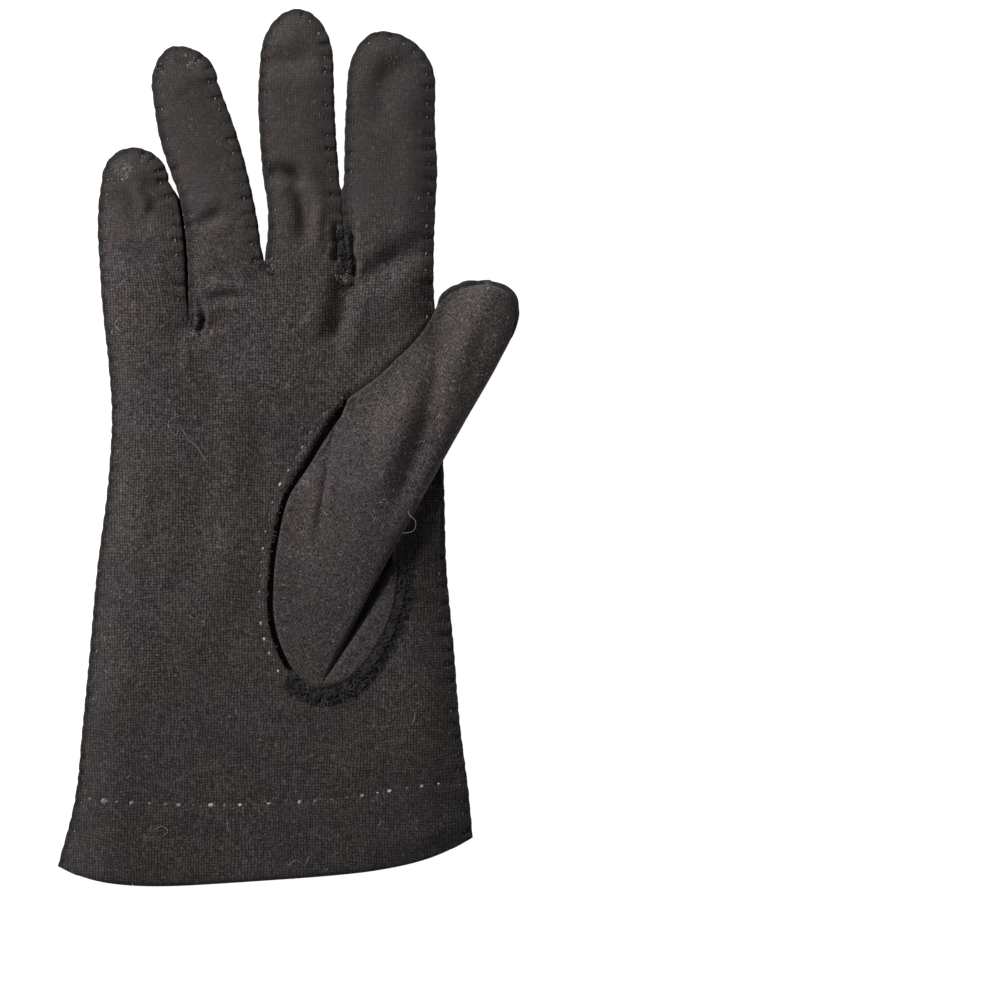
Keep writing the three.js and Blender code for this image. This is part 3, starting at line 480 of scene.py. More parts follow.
# Lint: long fibres by their thickness, height over the palm and course, and tufts of short ones.
LINT_LIFT = 0.04
THUMB_FACE_ALONG, THUMB_FACE_ACROSS = (0.03, 0.97, 90), (0.04, 0.96, 40)  # from, to and places
HOLE_STRIP_STEPS = 120
HAIR_STEPS, HAIR_SIDES = 16, 5
LONG_FIBRES = (
    (0.075, 0.25, (
        (-28.6, 7.8), (-31.6, 6.4), (-31.4, 4.2), (-29.6, 2.6), (-28.8, 4.6), (-27.6, 3.6), (-26.4, 1.6),
        (-24.2, -0.4), (-22.8, -2.4), (-21.3, -4.6),
    )),
    (0.1, 6.6, (
        (38.4, -10.6), (35.5, -14.6), (33.0, -16.4), (33.2, -18.7), (34.9, -20.6), (34.4, -23), (31.4, -23.8),
    )),
    (0.08, 0.3, ((-15.6, -98.4), (-15.9, -101), (-15.4, -104.2))),
    (0.09, 0.3, ((24.6, -98.6), (25.6, -100.6), (24.8, -102.8), (27.4, -103.4))),
    (0.08, 0.3, ((-35.5, -103.6), (-33.4, -102.6), (-31.8, -103.8), (-33, -105.2))),
    (0.08, 0.3, ((0.6, -113.2), (2.6, -111.6), (5, -112.8), (6.2, -110.6))),
    (0.08, 0.3, ((33, -70), (34.6, -72.4), (33.8, -75.4))),
    (0.08, 0.3, ((-44.5, 30.5), (-46.6, 32.6), (-44.8, 34.6))),
)
TUFTS = table(
    "x y radius fibres",
    (-44.2, 74.2, 2.6, 70),
    (-47.6, 71.0, 1.5, 14),
    (-25.6, 31.2, 2.2, 34),
    (15.0, 45.4, 1.9, 26),
    (-4.6, 48.0, 1.5, 12),
    (-26.0, 104.0, 2.6, 24),
    (28.4, 104.6, 2.2, 16),
    (-34.8, 101.6, 1.8, 12),
    (10.0, -68.6, 2.4, 16),
)
THUMB_LINT = 18  # times as thick on the thumb as on the palm

# Frayed raw edges beside the thumb hole: the hole's rows that each runs between, its reach out from the
# edge, its height over the palm and its yarn ends on each square metre.
FRAYED_EDGES = (
    ("flange", 7.6, 13.2, -1.5, 1.7, 1.1, 2.0e6),
    ("flange_below", 7.7, 13.1, 1.5, 3.3, 0.75, 1.9e6),
    ("lip", 2.4, 8.6, -0.4, 0.8, 0.3, 1.1e6),
    ("curl", 0.1, 2.9, -0.3, 1.8, 0.9, 1.6e6),
)
FRAYED_SPOTS = table(
    "x y radius fibres",
    (15.0, 57.0, 2.0, 34),
    (15.4, 52.6, 2.2, 52),
    (15.9, 48.0, 2.2, 48),
    (-24.6, 34.0, 2.2, 20),
    (-24.8, 30.6, 1.8, 18),
    (-5.4, 47.6, 2.0, 16),
)


# Numbers and lines, where a share runs from 0 to 1

def smooth(share):
    share = np.clip(share, 0, 1)
    return share * share * (3 - 2 * share)


def bell(distance, reach):
    return np.exp(-((distance / reach) ** 2))


def eased(rows, column, at):
    """A column's value at a height up the glove, eased between the rows."""
    keys, values = rows["y"], rows[column]
    i = np.clip(np.searchsorted(keys, at), 1, len(keys) - 1)
    share = smooth((at - keys[i - 1]) / (keys[i] - keys[i - 1]))
    return values[i - 1] + (values[i] - values[i - 1]) * share


def smooth_line(points, closed=False):
    """Points of a smooth curve through the given ones, as a draughtsman's spline lays it."""
    p = np.asarray(points, float)
    p = np.vstack([p[-1], p, p[:2]]) if closed else np.vstack([2 * p[0] - p[1], p, 2 * p[-1] - p[-2]])
    t = np.linspace(0, 1, SPLINE_STEPS, endpoint=False)[:, None]
    stretches = []
    for a, b, c, d in zip(p, p[1:], p[2:], p[3:]):
        ab, bc, cd = (max(np.linalg.norm(w - v), 1e-6) ** 0.5 for v, w in ((a, b), (b, c), (c, d)))
        start = ((b - a) / ab - (c - a) / (ab + bc) + (c - b) / bc) * bc
        end = ((c - b) / bc - (d - b) / (bc + cd) + (d - c) / cd) * bc
        square = 3 * (c - b) - 2 * start - end
        cube = 2 * (b - c) + start + end
        stretches.append(b + start * t + square * t**2 + cube * t**3)
    return np.vstack(stretches + [p[-2:-1]])


def unit(ways):
    """The same ways, each 1 long."""
    return ways / np.maximum(np.linalg.norm(ways, axis=1), 1e-9)[:, None]


def run_along(points):
    """How far along a row of points each of them lies."""
    return np.concatenate([[0], np.cumsum(np.linalg.norm(np.diff(points, axis=0), axis=1))])


class Line:
    """A smooth line, measured along its length."""

    def __init__(self, points, closed=False):
        self.points = smooth_line(points, closed)
        self.run = run_along(self.points)
        self.length = self.run[-1]

    def at(self, share):
        run = np.asarray(share, float) * self.length
        return np.stack([np.interp(run, self.run, column) for column in self.points.T], axis=-1)


def side_line(rows, side):
    """The smooth line up one side of a table's rows."""
    return Line(np.stack([rows[side + "_x"], rows[side + "_y"]], axis=1))


def ripple(points, wavelength, seed, waves=9):
    """Soft random waves over the cloth, about 1 high."""
    rng = np.random.default_rng(seed)
    total = np.zeros(len(points))
    for _ in range(waves):
        angle, phase = rng.uniform(0, 2 * math.pi, 2)
        run = points @ (math.cos(angle), math.sin(angle))
        total += np.cos(2 * math.pi * run / (wavelength * rng.uniform(0.7, 1.5)) + phase)
    return total / math.sqrt(waves)


def ripples(points, rows):
    """Soft waves of several heights and lengths, added up."""
    return sum(height * ripple(points, wavelength, seed) for height, wavelength, seed in rows)


def crease_depth(points, creases):
    """How deep the listed creases are at each point; each has soft shoulders and fades at its ends."""
    total = np.zeros(len(points))
    for width, depth, stops in creases:
        line = Line(stops)
        offsets = points[:, None, :] - line.points[None, :, :]
        distances = np.linalg.norm(offsets, axis=2)
        nearest = distances.argmin(axis=1)
        share = line.run[nearest] / line.length
        fade = smooth(share / CREASE_FADE) * smooth((1 - share) / CREASE_FADE)
        distance = distances.min(axis=1)
        shoulder = CREASE_SHOULDER * bell(distance - 2 * width, 0.9 * width)
        total += depth * fade * (bell(distance, width) - shoulder)
    return total


# The sewn outline

def finger_outline(finger):
    """Up a finger's left side, over its tip and down its right side."""
    rows, (tip_x, tip_y) = finger["rows"], finger["tip"]
    angle = np.linspace(0, math.pi / 2, TIP_STEPS)[1:]
    sides = []
    for side in ("left", "right"):
        line = side_line(rows, side)
        shaft = line.at(np.linspace(0, 1, round(line.length / OUTLINE_SPACING)))
        start_x, start_y = shaft[-1]
        tip = np.stack([
            tip_x + (start_x - tip_x) * np.cos(angle),
            start_y + (tip_y - start_y) * np.sin(angle),
        ], axis=1)
        sides.append(np.vstack([shaft, tip]))
    return np.vstack([sides[0], sides[1][::-1][1:]])


class Seam:
    """A sewn line, its run measured from its start, and the nearest place on it."""

    def __init__(self, points, fork=None, closed=False):
        self.points = points
        self.fork = np.zeros(len(points)) if fork is None else fork
        self.run = run_along(points)
        ahead = np.vstack([points[1:], points[:1] if closed else points[-1:]])
        behind = np.vstack([points[-1:] if closed else points[:1], points[:-1]])
        self.along = unit(ahead - behind)
        self.inward = np.stack([self.along[:, 1], -self.along[:, 0]], axis=1)
        self.tree = KDTree(len(points))
        for i, (x, y) in enumerate(points):
            self.tree.insert((x, y, 0), i)
        self.tree.balance()

    def near(self, points):
        """Distance to the seam, run along it, share of fourchette and the way in from it."""
        found = np.array([self.tree.find((x, y, 0))[1] for x, y in points])
        best = {"distance": np.full(len(points), np.inf), "run": 0.0, "fork": 0.0, "inward": 0.0}
        for step in (-1, 0):
            i = np.clip(found + step, 0, len(self.points) - 2)
            a, b = self.points[i], self.points[i + 1]
            span = b - a
            length2 = np.maximum((span**2).sum(1), 1e-9)
            share = np.clip(((points - a) * span).sum(1) / length2, 0, 1)
            here = {
                "distance": np.linalg.norm(points - a - span * share[:, None], axis=1),
                "run": self.run[i] + share * (self.run[i + 1] - self.run[i]),
                "fork": self.fork[i] + share * (self.fork[i + 1] - self.fork[i]),
                "inward": self.inward[i] + share[:, None] * (self.inward[i + 1] - self.inward[i]),
            }
            closer = here["distance"] < best["distance"]
            for key, value in here.items():
                best[key] = np.where(closer if value.ndim == 1 else closer[:, None], value, best[key])
        return best

    def distance(self, points):
        return self.near(points)["distance"]

    def place(self, run):
        """Point, direction and inward way at a run along the seam."""
        columns = np.hstack([self.points, self.along, self.inward])
        found = np.stack([np.interp(run, self.run, column) for column in columns.T], axis=-1)
        return found[..., 0:2], found[..., 2:4], found[..., 4:6]


def sewn_outline():
    """Up the left side of the hand, round the four fingers and down the right side."""
    points, fork = [], []
    left, right = side_line(HAND_ROWS, "left"), side_line(HAND_ROWS, "right")
    steps = round(left.length / OUTLINE_SPACING)
    points.append(left.at(np.linspace(0, 1, steps, endpoint=False)))
    fork.append(np.zeros(steps))
    for index, finger in enumerate(FINGERS):
        around = finger_outline(finger)[:-1]
        has = np.full(len(around), True)
        half = int(np.argmax(around[:, 1]))
        has[:half] = index > 0
        has[half:] = index < len(FINGERS) - 1
        points.append(around)
        fork.append(np.where(has, smooth((finger["tip"][1] - around[:, 1]) / FORK_TAPER), 0))
    points.append(right.at(np.linspace(1, 0, steps)))
    fork.append(np.zeros(steps))
    return Seam(np.vstack(points), np.concatenate(fork))


def cuff_points(spacing=OUTLINE_SPACING):
    """The cuff's edge, from its left corner to its right one."""
    left = np.array([HAND_ROWS["left_x"][0], HAND_ROWS["left_y"][0]])
    right = np.array([HAND_ROWS["right_x"][0], HAND_ROWS["right_y"][0]])
    share = np.linspace(0, 1, round(np.linalg.norm(right - left) / spacing))
    points = left + (right - left) * share[:, None]
    points[:, 1] -= CUFF_SAG * (1 - np.abs(2 * share - 1) ** HEM_ROUNDNESS)
    return points


SEAM = sewn_outline()
CUFF = cuff_points()
CUFF_SEAM = Seam(CUFF)
OUTLINE = np.vstack([SEAM.points, CUFF[::-1][1:-1]])
CROTCHES = [(finger["rows"]["left_x"][0], finger["rows"]["left_y"][0]) for finger in FINGERS[1:]]


def inside(points, outline):
    """Which points lie inside a closed outline."""
    found = np.zeros(len(points), bool)
    x, y = points.T
    for a, b in zip(outline, np.roll(outline, -1, axis=0)):
        if a[1] == b[1]:
            continue
        crosses = (a[1] > y) != (b[1] > y)
        found ^= crosses & (x < a[0] + (y - a[1]) * (b[0] - a[0]) / (b[1] - a[1]))
    return found


# Stitches and the puckers that they make

def stitch_runs(length, seed):
    """Where a hand sets its stitches along a seam of this length."""
    count = max(1, round(length / (settings().stitch_pitch / MM)))
    drift = np.random.default_rng(seed).uniform(-STITCH_DRIFT, STITCH_DRIFT, count)
    return (np.arange(count) + 0.5) * length / count + drift


@lru_cache(maxsize=None)
def seam_stitches():
    return stitch_runs(SEAM.run[-1], SEAM_SEED)


def from_stitch(run, stitches):
    """Distance along the seam to the nearest stitch."""
    after = np.clip(np.searchsorted(stitches, run), 1, len(stitches) - 1)
    return np.minimum(np.abs(run - stitches[after - 1]), np.abs(run - stitches[after]))


def stitch_pull(run, stitches):
    """How hard the nearest stitch was drawn."""
    after = np.clip(np.searchsorted(stitches, run), 1, len(stitches) - 1)
    nearer = np.abs(run - stitches[after - 1]) < np.abs(run - stitches[after])
    pulls = np.random.default_rng(len(stitches)).uniform(*PULL_RANGE, len(stitches))
    return pulls[after - nearer]


def pucker(run, distance, stitches, line_at=SEAM_ALLOWANCE):
    """How far stitches draw the cloth in at each place beside a seam."""
    along = from_stitch(run, stitches)
    across = distance - line_at
    depth = DIMPLE_DEPTH * bell(along, DIMPLE_REACH) * bell(across, DIMPLE_REACH)
    fading = np.exp(-np.maximum(across, 0) / PULL_REACH)
    depth += PULL_DEPTH * bell(along, PULL_BREADTH) * fading * (across > 0)
    depth += TICK_DEPTH * bell(along, TICK_REACH) * smooth(-across / TICK_FADE)
    depth = depth * stitch_pull(run, stitches) + SEAM_VALLEY * bell(across, DIMPLE_REACH)
    between = 1 - bell(along, BETWEEN_REACH)
    depth -= EDGE_LIFT * between * smooth(1 - distance / line_at)
    frayed = np.cos(run * 5.1) * np.cos(run * 2.3 + 1.7)
    return depth + FRAY * frayed * smooth(1 - distance / line_at)


def scalloped(points, stitches, side):
    """Draws the raw edge in a little at each stitch, and closes the slits."""
    seam = SEAM.near(points)
    pull = EDGE_SCALLOP * bell(from_stitch(seam["run"], stitches), SCALLOP_REACH)
    pull += FRAY * np.cos(seam["run"] * 3.7) * np.cos(seam["run"] * 1.3)
    moved = points + seam["inward"] * (pull * smooth(1 - seam["distance"] / SCALLOP_DEPTH))[:, None]
    return moved + slit_shift(points, seam["distance"], side)


def slit_shift(points, distance, side):
    """How far the edges of fingers that lie against each other move together."""
    shift = np.zeros_like(points)
    for crotch, top, palm_gap, back_gap in zip(*SLITS.values()):
        gap = palm_gap if side == "palm" else back_gap
        first, second = FINGERS[int(crotch) - 1], FINGERS[int(crotch)]
        edges = [side_line(first["rows"], "right").points, side_line(second["rows"], "left").points]
        left, right = (np.interp(points[:, 1], edge[:, 1], edge[:, 0]) for edge in edges)
        share = smooth((top - points[:, 1]) / SLIT_FADE) * smooth((points[:, 1] - edges[0][0, 1]) / SLIT_FADE)
        share *= smooth(1 - distance / SLIT_REACH) * (np.abs(points[:, 0] - (left + right) / 2) < SLIT_HALF)
        move = np.maximum((right - left - gap) / 2, 0) * share
        shift[:, 0] += np.where(points[:, 0] < (left + right) / 2, move, -move)
    return shift


# Heights of the cloth

def fold_depth(points):
    """How deep the soft dents are at each point."""
    total = np.zeros(len(points))
    for x, y, turn, length, width, depth in zip(*FOLDS.values()):
        c, s = math.cos(math.radians(turn)), math.sin(math.radians(turn))
        offset = points - (x, y)
        along, across = offset @ (c, s), offset @ (-s, c)
        total += depth * np.exp(-((2 * along / length) ** 2) - (2 * across / width) ** 2)
    return total


def palm_rest(points):
    """The palm's outer face without its small puckers, as the frame has it."""
    seam = SEAM.near(points)
    edge = SIDE_SEAM_Z + CLEARANCE / 2 + WALL + PALM_SEAM_RISE * seam["fork"]
    roll = eased(LOFT, "roll", points[:, 1]) + SEAM_ALLOWANCE - ROLL_START
    rolled = np.sin(np.clip((seam["distance"] - ROLL_START) / roll, 0, 1) * math.pi / 2)
    return edge + (eased(LOFT, "top", points[:, 1]) - edge - fold_depth(points)) * rolled


HEM_SEAM = Seam(smooth_line(HEM_STITCHES))


def hem_relief(points):
    """The hem's double layer and the groove of its stitch row."""
    seam = HEM_SEAM.near(points)
    below = np.sign((seam["inward"] * (points - HEM_SEAM.place(seam["run"])[0])).sum(1))
    signed = seam["distance"] * below
    stitches = stitch_runs(HEM_SEAM.run[-1], HEM_SEED)
    reach, width = HEM_GROOVE_REACH
    groove = HEM_GROOVE * bell(from_stitch(seam["run"], stitches), reach) * bell(signed, width)
    groove += HEM_VALLEY * bell(signed, 1.0)
    return HEM_STEP * smooth((signed + HEM_RISE / 2) / HEM_RISE) - groove


def palm_height(points):
    """The palm's outer face with every crease and pucker."""
    seam = SEAM.near(points)
    hole = HOLE.near(points)
    distance = seam["distance"]
    z = palm_rest(points)
    z -= crease_depth(points, PALM_CREASES) * smooth((distance - CREASE_START) / CREASE_RISE)
    z += ripples(points, PALM_RIPPLES) * smooth((distance - RIPPLE_START) / RIPPLE_RISE)
    z -= pucker(seam["run"], distance, seam_stitches())
    z += hem_relief(points) * smooth(distance / HEM_SIDE_RISE)
    return z + hole_relief(hole)


def back_height(points):
    """The back's outer face: flat where it rests, curling up to its seam."""
    seam = SEAM.near(points)
    edge = SIDE_SEAM_Z - CLEARANCE / 2 - WALL - BACK_SEAM_DROP * seam["fork"]
    curl = np.clip(1 - (seam["distance"] - SEAM_ALLOWANCE) / BACK_ROLL, 0, 1)
    drawn = pucker(seam["run"], seam["distance"], seam_stitches())
    return np.maximum(edge * curl**2 + drawn * np.clip(edge, 0, 1), 0)


# The thumb hole

HOLE_LINE = smooth_line(np.stack([THUMB_HOLE["x"], THUMB_HOLE["y"]], axis=1), closed=True)[:-1]
HOLE = Seam(HOLE_LINE, closed=True)


def hole_value(share, column):
    """A column's value at a share of the hole's rows."""
    rows = np.append(THUMB_HOLE[column], THUMB_HOLE[column][0])
    return np.interp((np.asarray(share) % 1) * HOLE_ROWS, np.arange(HOLE_ROWS + 1), rows)


def beside_hole(share, out):
    """A point beside the hole's edge, on the palm when out is above 0."""
    at = (np.asarray(share, float) % 1) * len(HOLE_LINE)
    steps = np.arange(len(HOLE_LINE) + 1)
    columns = np.hstack([HOLE_LINE, HOLE.inward])
    columns = np.vstack([columns, columns[:1]])
    found = np.stack([np.interp(at, steps, column) for column in columns.T], axis=-1)
    return found[..., 0:2] + found[..., 2:4] * np.asarray(out, float)[..., None]


def hole_share(run):
    """The share of the hole's rows at a run round its edge."""
    return np.interp(run, HOLE.run, np.arange(len(HOLE.run))) / len(HOLE.run)


def in_range(share, span, fade=SPAN_FADE):
    """1 within a span of the hole's shares, easing to 0 at its ends."""
    return smooth((share - span[0]) / fade) * smooth((span[1] - share) / fade)


def hole_stitches():
    return stitch_runs(HOLE.run[-1], HOLE_SEED)


def hole_relief(near):
    """The palm round the hole: a lifted raw edge on the left, a turned-up one under the flange."""
    share, distance = hole_share(near["run"]), near["distance"]
    lip = in_range(share, HOLE_LIP)
    flange = in_range(share, HOLE_FLANGE, FLANGE_SPAN_FADE)
    middle, half = LIP_WIDEST
    wide = bell(share - middle, half)
    relief = (LIP_LIFT + LIP_WIDEST_LIFT * wide) * lip * bell(distance, LIP_REACH)
    relief += FLANGE_LIFT * flange * bell(distance, FLANGE_REACH)
    return relief - LIP_PUCKER * lip * pucker(near["run"], distance, hole_stitches())


# Flat layouts of the panels

def offset_rings(seam, offsets):
    """Points at several distances inside a seam, thinner further in."""
    rings = []
    for offset in offsets:
        ring = (seam.points + seam.inward * offset)[:: 1 if offset < THINNER_FROM else 2]
        rings.append(ring[seam.distance(ring) > offset * CLEAR_SHARE])
    return np.vstack(rings)


def crotch_points(offsets):
    """Points in the fan below each crotch."""
    angles = np.radians(FAN_ANGLES)
    fans = [
        np.stack([x + offset * np.cos(angles), y + offset * np.sin(angles)], axis=1)
        for x, y in CROTCHES for offset in offsets
    ]
    return np.vstack(fans)


def hex_grid(spacing):
    """A grid over the whole glove whose every second row is shifted."""
    left, right, low, high = GRID_BOX
    x = np.arange(left, right, spacing)
    y = np.arange(low, high, spacing * GRID_ROWS)
    grid_x, grid_y = np.meshgrid(x, y)
    grid_x[1::2] += spacing / 2
    return np.stack([grid_x.ravel(), grid_y.ravel()], axis=1)


def crease_distance(points):
    """Distance to the nearest sharp crease."""
    lines = [Line(stops).points for width, _, stops in PALM_CREASES if width < SHARP_CREASE]
    nearest = [np.linalg.norm(points[:, None, :] - line[None, :, :], axis=2).min(axis=1) for line in lines]
    return np.min(nearest, axis=0)


def crease_points():
    """A closer grid beside the sharp creases."""
    grid = hex_grid(CREASE_SPACING)
    boxed = np.zeros(len(grid), bool)
    for width, _, stops in PALM_CREASES:
        if width < SHARP_CREASE:
            low, high = np.min(stops, axis=0) - CREASE_MARGIN, np.max(stops, axis=0) + CREASE_MARGIN
            boxed |= ((grid > low) & (grid < high)).all(axis=1)
    grid = grid[boxed]
    return grid[crease_distance(grid) <= CREASE_MARGIN]


def field_points(spacing):
    """Points inside the outline: rings beside its edges and a grid between them."""
    rings = np.vstack([offset_rings(SEAM, EDGE_RINGS), crotch_points(EDGE_RINGS)])
    cuffs = np.vstack([CUFF + (0, offset) for offset in CUFF_RINGS])
    cuffs = cuffs[SEAM.distance(cuffs) > EDGE_RINGS[-1]]
    field = hex_grid(spacing)
    field = field[SEAM.distance(field) > EDGE_RINGS[-1] + spacing * FIELD_CLEAR]
    field = field[CUFF_SEAM.distance(field) > CUFF_RINGS[-1] + spacing * FIELD_CLEAR]
    rings = rings[CUFF_SEAM.distance(rings) > CUFF_CLEAR]
    free = np.vstack([rings, cuffs, field])
    return free[inside(free, OUTLINE)]


def palm_points(free, spacing):
    """The palm's own: closer beside its sharp creases, in rings round the hole, and none inside it."""
    fine = crease_points()
    fine = fine[SEAM.distance(fine) > EDGE_RINGS[-1] + CREASE_SPACING * FIELD_CLEAR]
    beside_seam = SEAM.distance(free) < EDGE_RINGS[-1] + 0.2
    free = np.vstack([free[(crease_distance(free) > CREASE_MARGIN) | beside_seam], fine])
    around = np.vstack([HOLE_LINE[::2] + HOLE.inward[::2] * offset for offset in HOLE_RINGS])
    around = around[HOLE.distance(around) > HOLE_RINGS[0] * CLEAR_SHARE]
    clear = HOLE.distance(free) > HOLE_RINGS[-1] + spacing * HOLE_CLEAR
    return np.vstack([free[clear & ~inside(free, HOLE_LINE)], around])


def triangulated(edge, free):
    """The outline, the hole's edge and the free points joined by triangles that all face up."""
    first = len(OUTLINE)
    loop = [(first + i, first + (i + 1) % len(edge)) for i in range(len(edge))]
    everything = [Vector(p) for p in np.vstack([OUTLINE, edge, free])]
    made = delaunay_2d_cdt(everything, loop, [list(range(first))], 1, 1e-5)
    points = np.array([tuple(p) for p in made[0]])
    triangles = np.array(made[2])
    a, b, c = (points[triangles[:, k]] for k in range(3))
    turn = np.cross(b - a, c - a)
    triangles = np.where(turn[:, None] > 0, triangles, triangles[:, ::-1])
    return points, triangles[np.abs(turn) > 1e-9]


@lru_cache(maxsize=None)
def panel_layout(spacing, has_hole):
    """Flat points and triangles of a panel cut to the outline, closer together beside its edges."""
    free = field_points(spacing)
    edge = np.zeros((0, 2))
    if has_hole:
        free = palm_points(free, spacing)
        edge = HOLE_LINE[::2]
    points, triangles = triangulated(edge, free)
    if has_hole:
        triangles = triangles[~inside(points[triangles].mean(axis=1), edge)]
    used, triangles = np.unique(triangles, return_inverse=True)
    return points[used], triangles.reshape(-1, 3)


def grid_triangles(rows, columns, turned=False):
    """The triangles of a grid of points, numbered row by row."""
    index = np.arange(rows * columns).reshape(rows, columns)
    a, b, c, d = index[:-1, :-1], index[:-1, 1:], index[1:, 1:], index[1:, :-1]
    quads = np.stack([a, d, c, b] if turned else [a, b, c, d], axis=-1).reshape(-1, 4)
    return np.vstack([quads[:, :3], quads[:, [0, 2, 3]]])


def vertex_normals(points, triangles):
    """Ways out of a surface at its points, each 1 long."""
    a, b, c = (points[triangles[:, k]] for k in range(3))
    faces = np.cross(b - a, c - a)
    normals = np.zeros_like(points)
    for k in range(3):
        np.add.at(normals, triangles[:, k], faces)
    return normals / np.maximum(np.linalg.norm(normals, axis=1), 1e-12)[:, None]


def border(triangles):
    """The directed edges that only one triangle has."""
    edges = np.vstack([triangles[:, [0, 1]], triangles[:, [1, 2]], triangles[:, [2, 0]]])
    known = {tuple(edge) for edge in edges}
    return [(a, b) for a, b in known if (b, a) not in known]


def cloth_slab(flat, triangles, face_z, thickness, cloth, face_up=True):
    """A closed sheet of cloth: its outer face at face_z, its wall behind it, its raw edges rounded."""
    side = 1 if face_up else -1
    outer = np.column_stack([flat, face_z])
    slope = np.maximum(np.abs(vertex_normals(outer, triangles)[:, 2]), STEEPEST)
    inner = np.column_stack([flat, face_z - side * thickness / slope])
    count = len(flat)
    edges = border(triangles)
    outward = np.zeros((count, 2))
    for a, b in edges:
        way = flat[b] - flat[a]
        way = np.array([way[1], -way[0]]) / max(np.linalg.norm(way), 1e-9)
        outward[a] += way
        outward[b] += way
    rim = sorted({a for edge in edges for a in edge})
    middle = (outer[rim] + inner[rim]) / 2
    middle[:, :2] += unit(outward[rim]) * EDGE_BULGE
    place = {vertex: 2 * count + i for i, vertex in enumerate(rim)}
    points = np.vstack([outer, inner, middle])
    faces = [tuple(t) for t in triangles] + [tuple(t + count) for t in triangles[:, ::-1]]
    for a, b in edges:
        faces += [(b, a, place[a], place[b]), (place[b], place[a], a + count, b + count)]
    if not face_up:
        faces = [face[::-1] for face in faces]
    return points, faces, np.vstack([cloth, cloth, cloth[rim]])


def cloth_grain(flat):
    """Where each point lies on the cloth: its ribs follow the lean of each finger."""
    grain = flat.copy()
    for finger in FINGERS:
        rows = finger["rows"]
        root = min(rows["left_y"][0], rows["right_y"][0])
        around = finger_outline(finger)
        own = inside(flat, around)
        rise = np.maximum(flat[:, 1] - root, 0)
        grain[:, 0] += np.where(own, finger["lean"] * rise * smooth(rise / LEAN_RISE), 0)
    return grain + np.stack([ripples(flat, [row]) for row in GRAIN_RIPPLES], axis=1)


def edge_thinning(flat):
    """How much a panel thins on each face towards its raw edge."""
    near = np.minimum(SEAM.distance(flat), 9)
    return EDGE_THINNING * smooth(1 - near / EDGE_ROUNDING)


# Strips of cloth

def strip_profile(middle, thickness):
    """The closed outline of a strip whose middle follows these points, with round ends."""
    middle = np.asarray(middle, float)
    ahead = np.vstack([middle[1:], middle[-1:]])
    behind = np.vstack([middle[:1], middle[:-1]])
    way = unit(ahead - behind)
    normal = np.stack([-way[:, 1], way[:, 0]], axis=1)
    half = np.full(len(middle), thickness / 2)
    half[[0, -1]] *= STRIP_END
    upper, lower = middle + normal * half[:, None], middle - normal * half[:, None]
    cap = thickness * STRIP_CAP
    start, end = middle[0] - way[0] * cap, middle[-1] + way[-1] * cap
    return np.vstack([upper, end, lower[::-1], start])


def sweep(origins, outwards, profiles):
    """A closed body: each profile stands on its origin, its first axis along outward, its second up."""
    count = len(profiles[0])
    rings = []
    for origin, outward, profile in zip(origins, outwards, profiles):
        ring = np.tile(np.asarray(origin, float), (count, 1))
        ring[:, :2] += profile[:, :1] * np.asarray(outward)[None, :]
        ring[:, 2] += profile[:, 1]
        rings.append(ring)
    points = np.vstack(rings)
    faces = ring_faces(len(rings), count)
    faces.append(tuple(range(count))[::-1])
    faces.append(tuple(range(len(points) - count, len(points))))
    return facing_out(points, faces)


def ring_faces(rings, count, start=0):
    faces = []
    for j in range(rings - 1):
        low, high = start + j * count, start + (j + 1) * count
        for i in range(count):
            after = (i + 1) % count
            faces.append((low + i, low + after, high + after, high + i))
    return faces


def facing_out(points, faces):
    """Turns a closed body's faces outwards."""
    volume = 0.0
    for face in faces:
        first = points[face[0]]
        for b, c in zip(face[1:], face[2:]):
            volume += np.dot(first, np.cross(points[b], points[c]))
    return points, faces if volume > 0 else [face[::-1] for face in faces]


def joined(bodies):
    """Several closed bodies as one: points, faces and places on the cloth."""
    points, faces, cloth, start = [], [], [], 0
    for body_points, body_faces, body_cloth in bodies:
        points.append(body_points)
        cloth.append(body_cloth)
        faces += [tuple(i + start for i in face) for face in body_faces]
        start += len(body_points)
    return np.vstack(points), faces, np.vstack(cloth)


# Thumb

def thumb_foot(share):
    """Where the thumb's cloth stands in the hole."""
    return beside_hole(share, -hole_value(share, "gap") - WALL / 2)


THUMB_SEAM_LINE = Line(np.vstack([thumb_foot(0.0), THUMB_SEAM]))
THUMB_FOLD_LINE = Line(np.vstack([thumb_foot(HOLE_BOTTOM), THUMB_FOLD]))


def foot_share(side, across):
    """The share of the hole's rows where a line up the thumb's layer begins."""
    return HOLE_BOTTOM * across if side > 0 else 1 - (1 - HOLE_BOTTOM) * across


def thumb_bed(points, across):
    """What the thumb lies on: the palm, and beyond its edge a slope towards the surface."""
    edge = SIDE_SEAM_Z + CLEARANCE / 2 + WALL
    beyond = edge - THUMB_DROOP * SEAM.distance(points)
    below = np.where(inside(points, OUTLINE), palm_rest(points), beyond)
    top = eased(LOFT, "top", points[:, 1])
    follow = THUMB_FOLLOW + (1 - THUMB_FOLLOW) * (1 - smooth(across / FLUSH_REACH))
    return top + (below - top) * follow


def half_round(across):
    """The height of a half circle over its width, 1 in the middle."""
    return np.sqrt(np.maximum(1 - (1 - 2 * across) ** 2, 0))


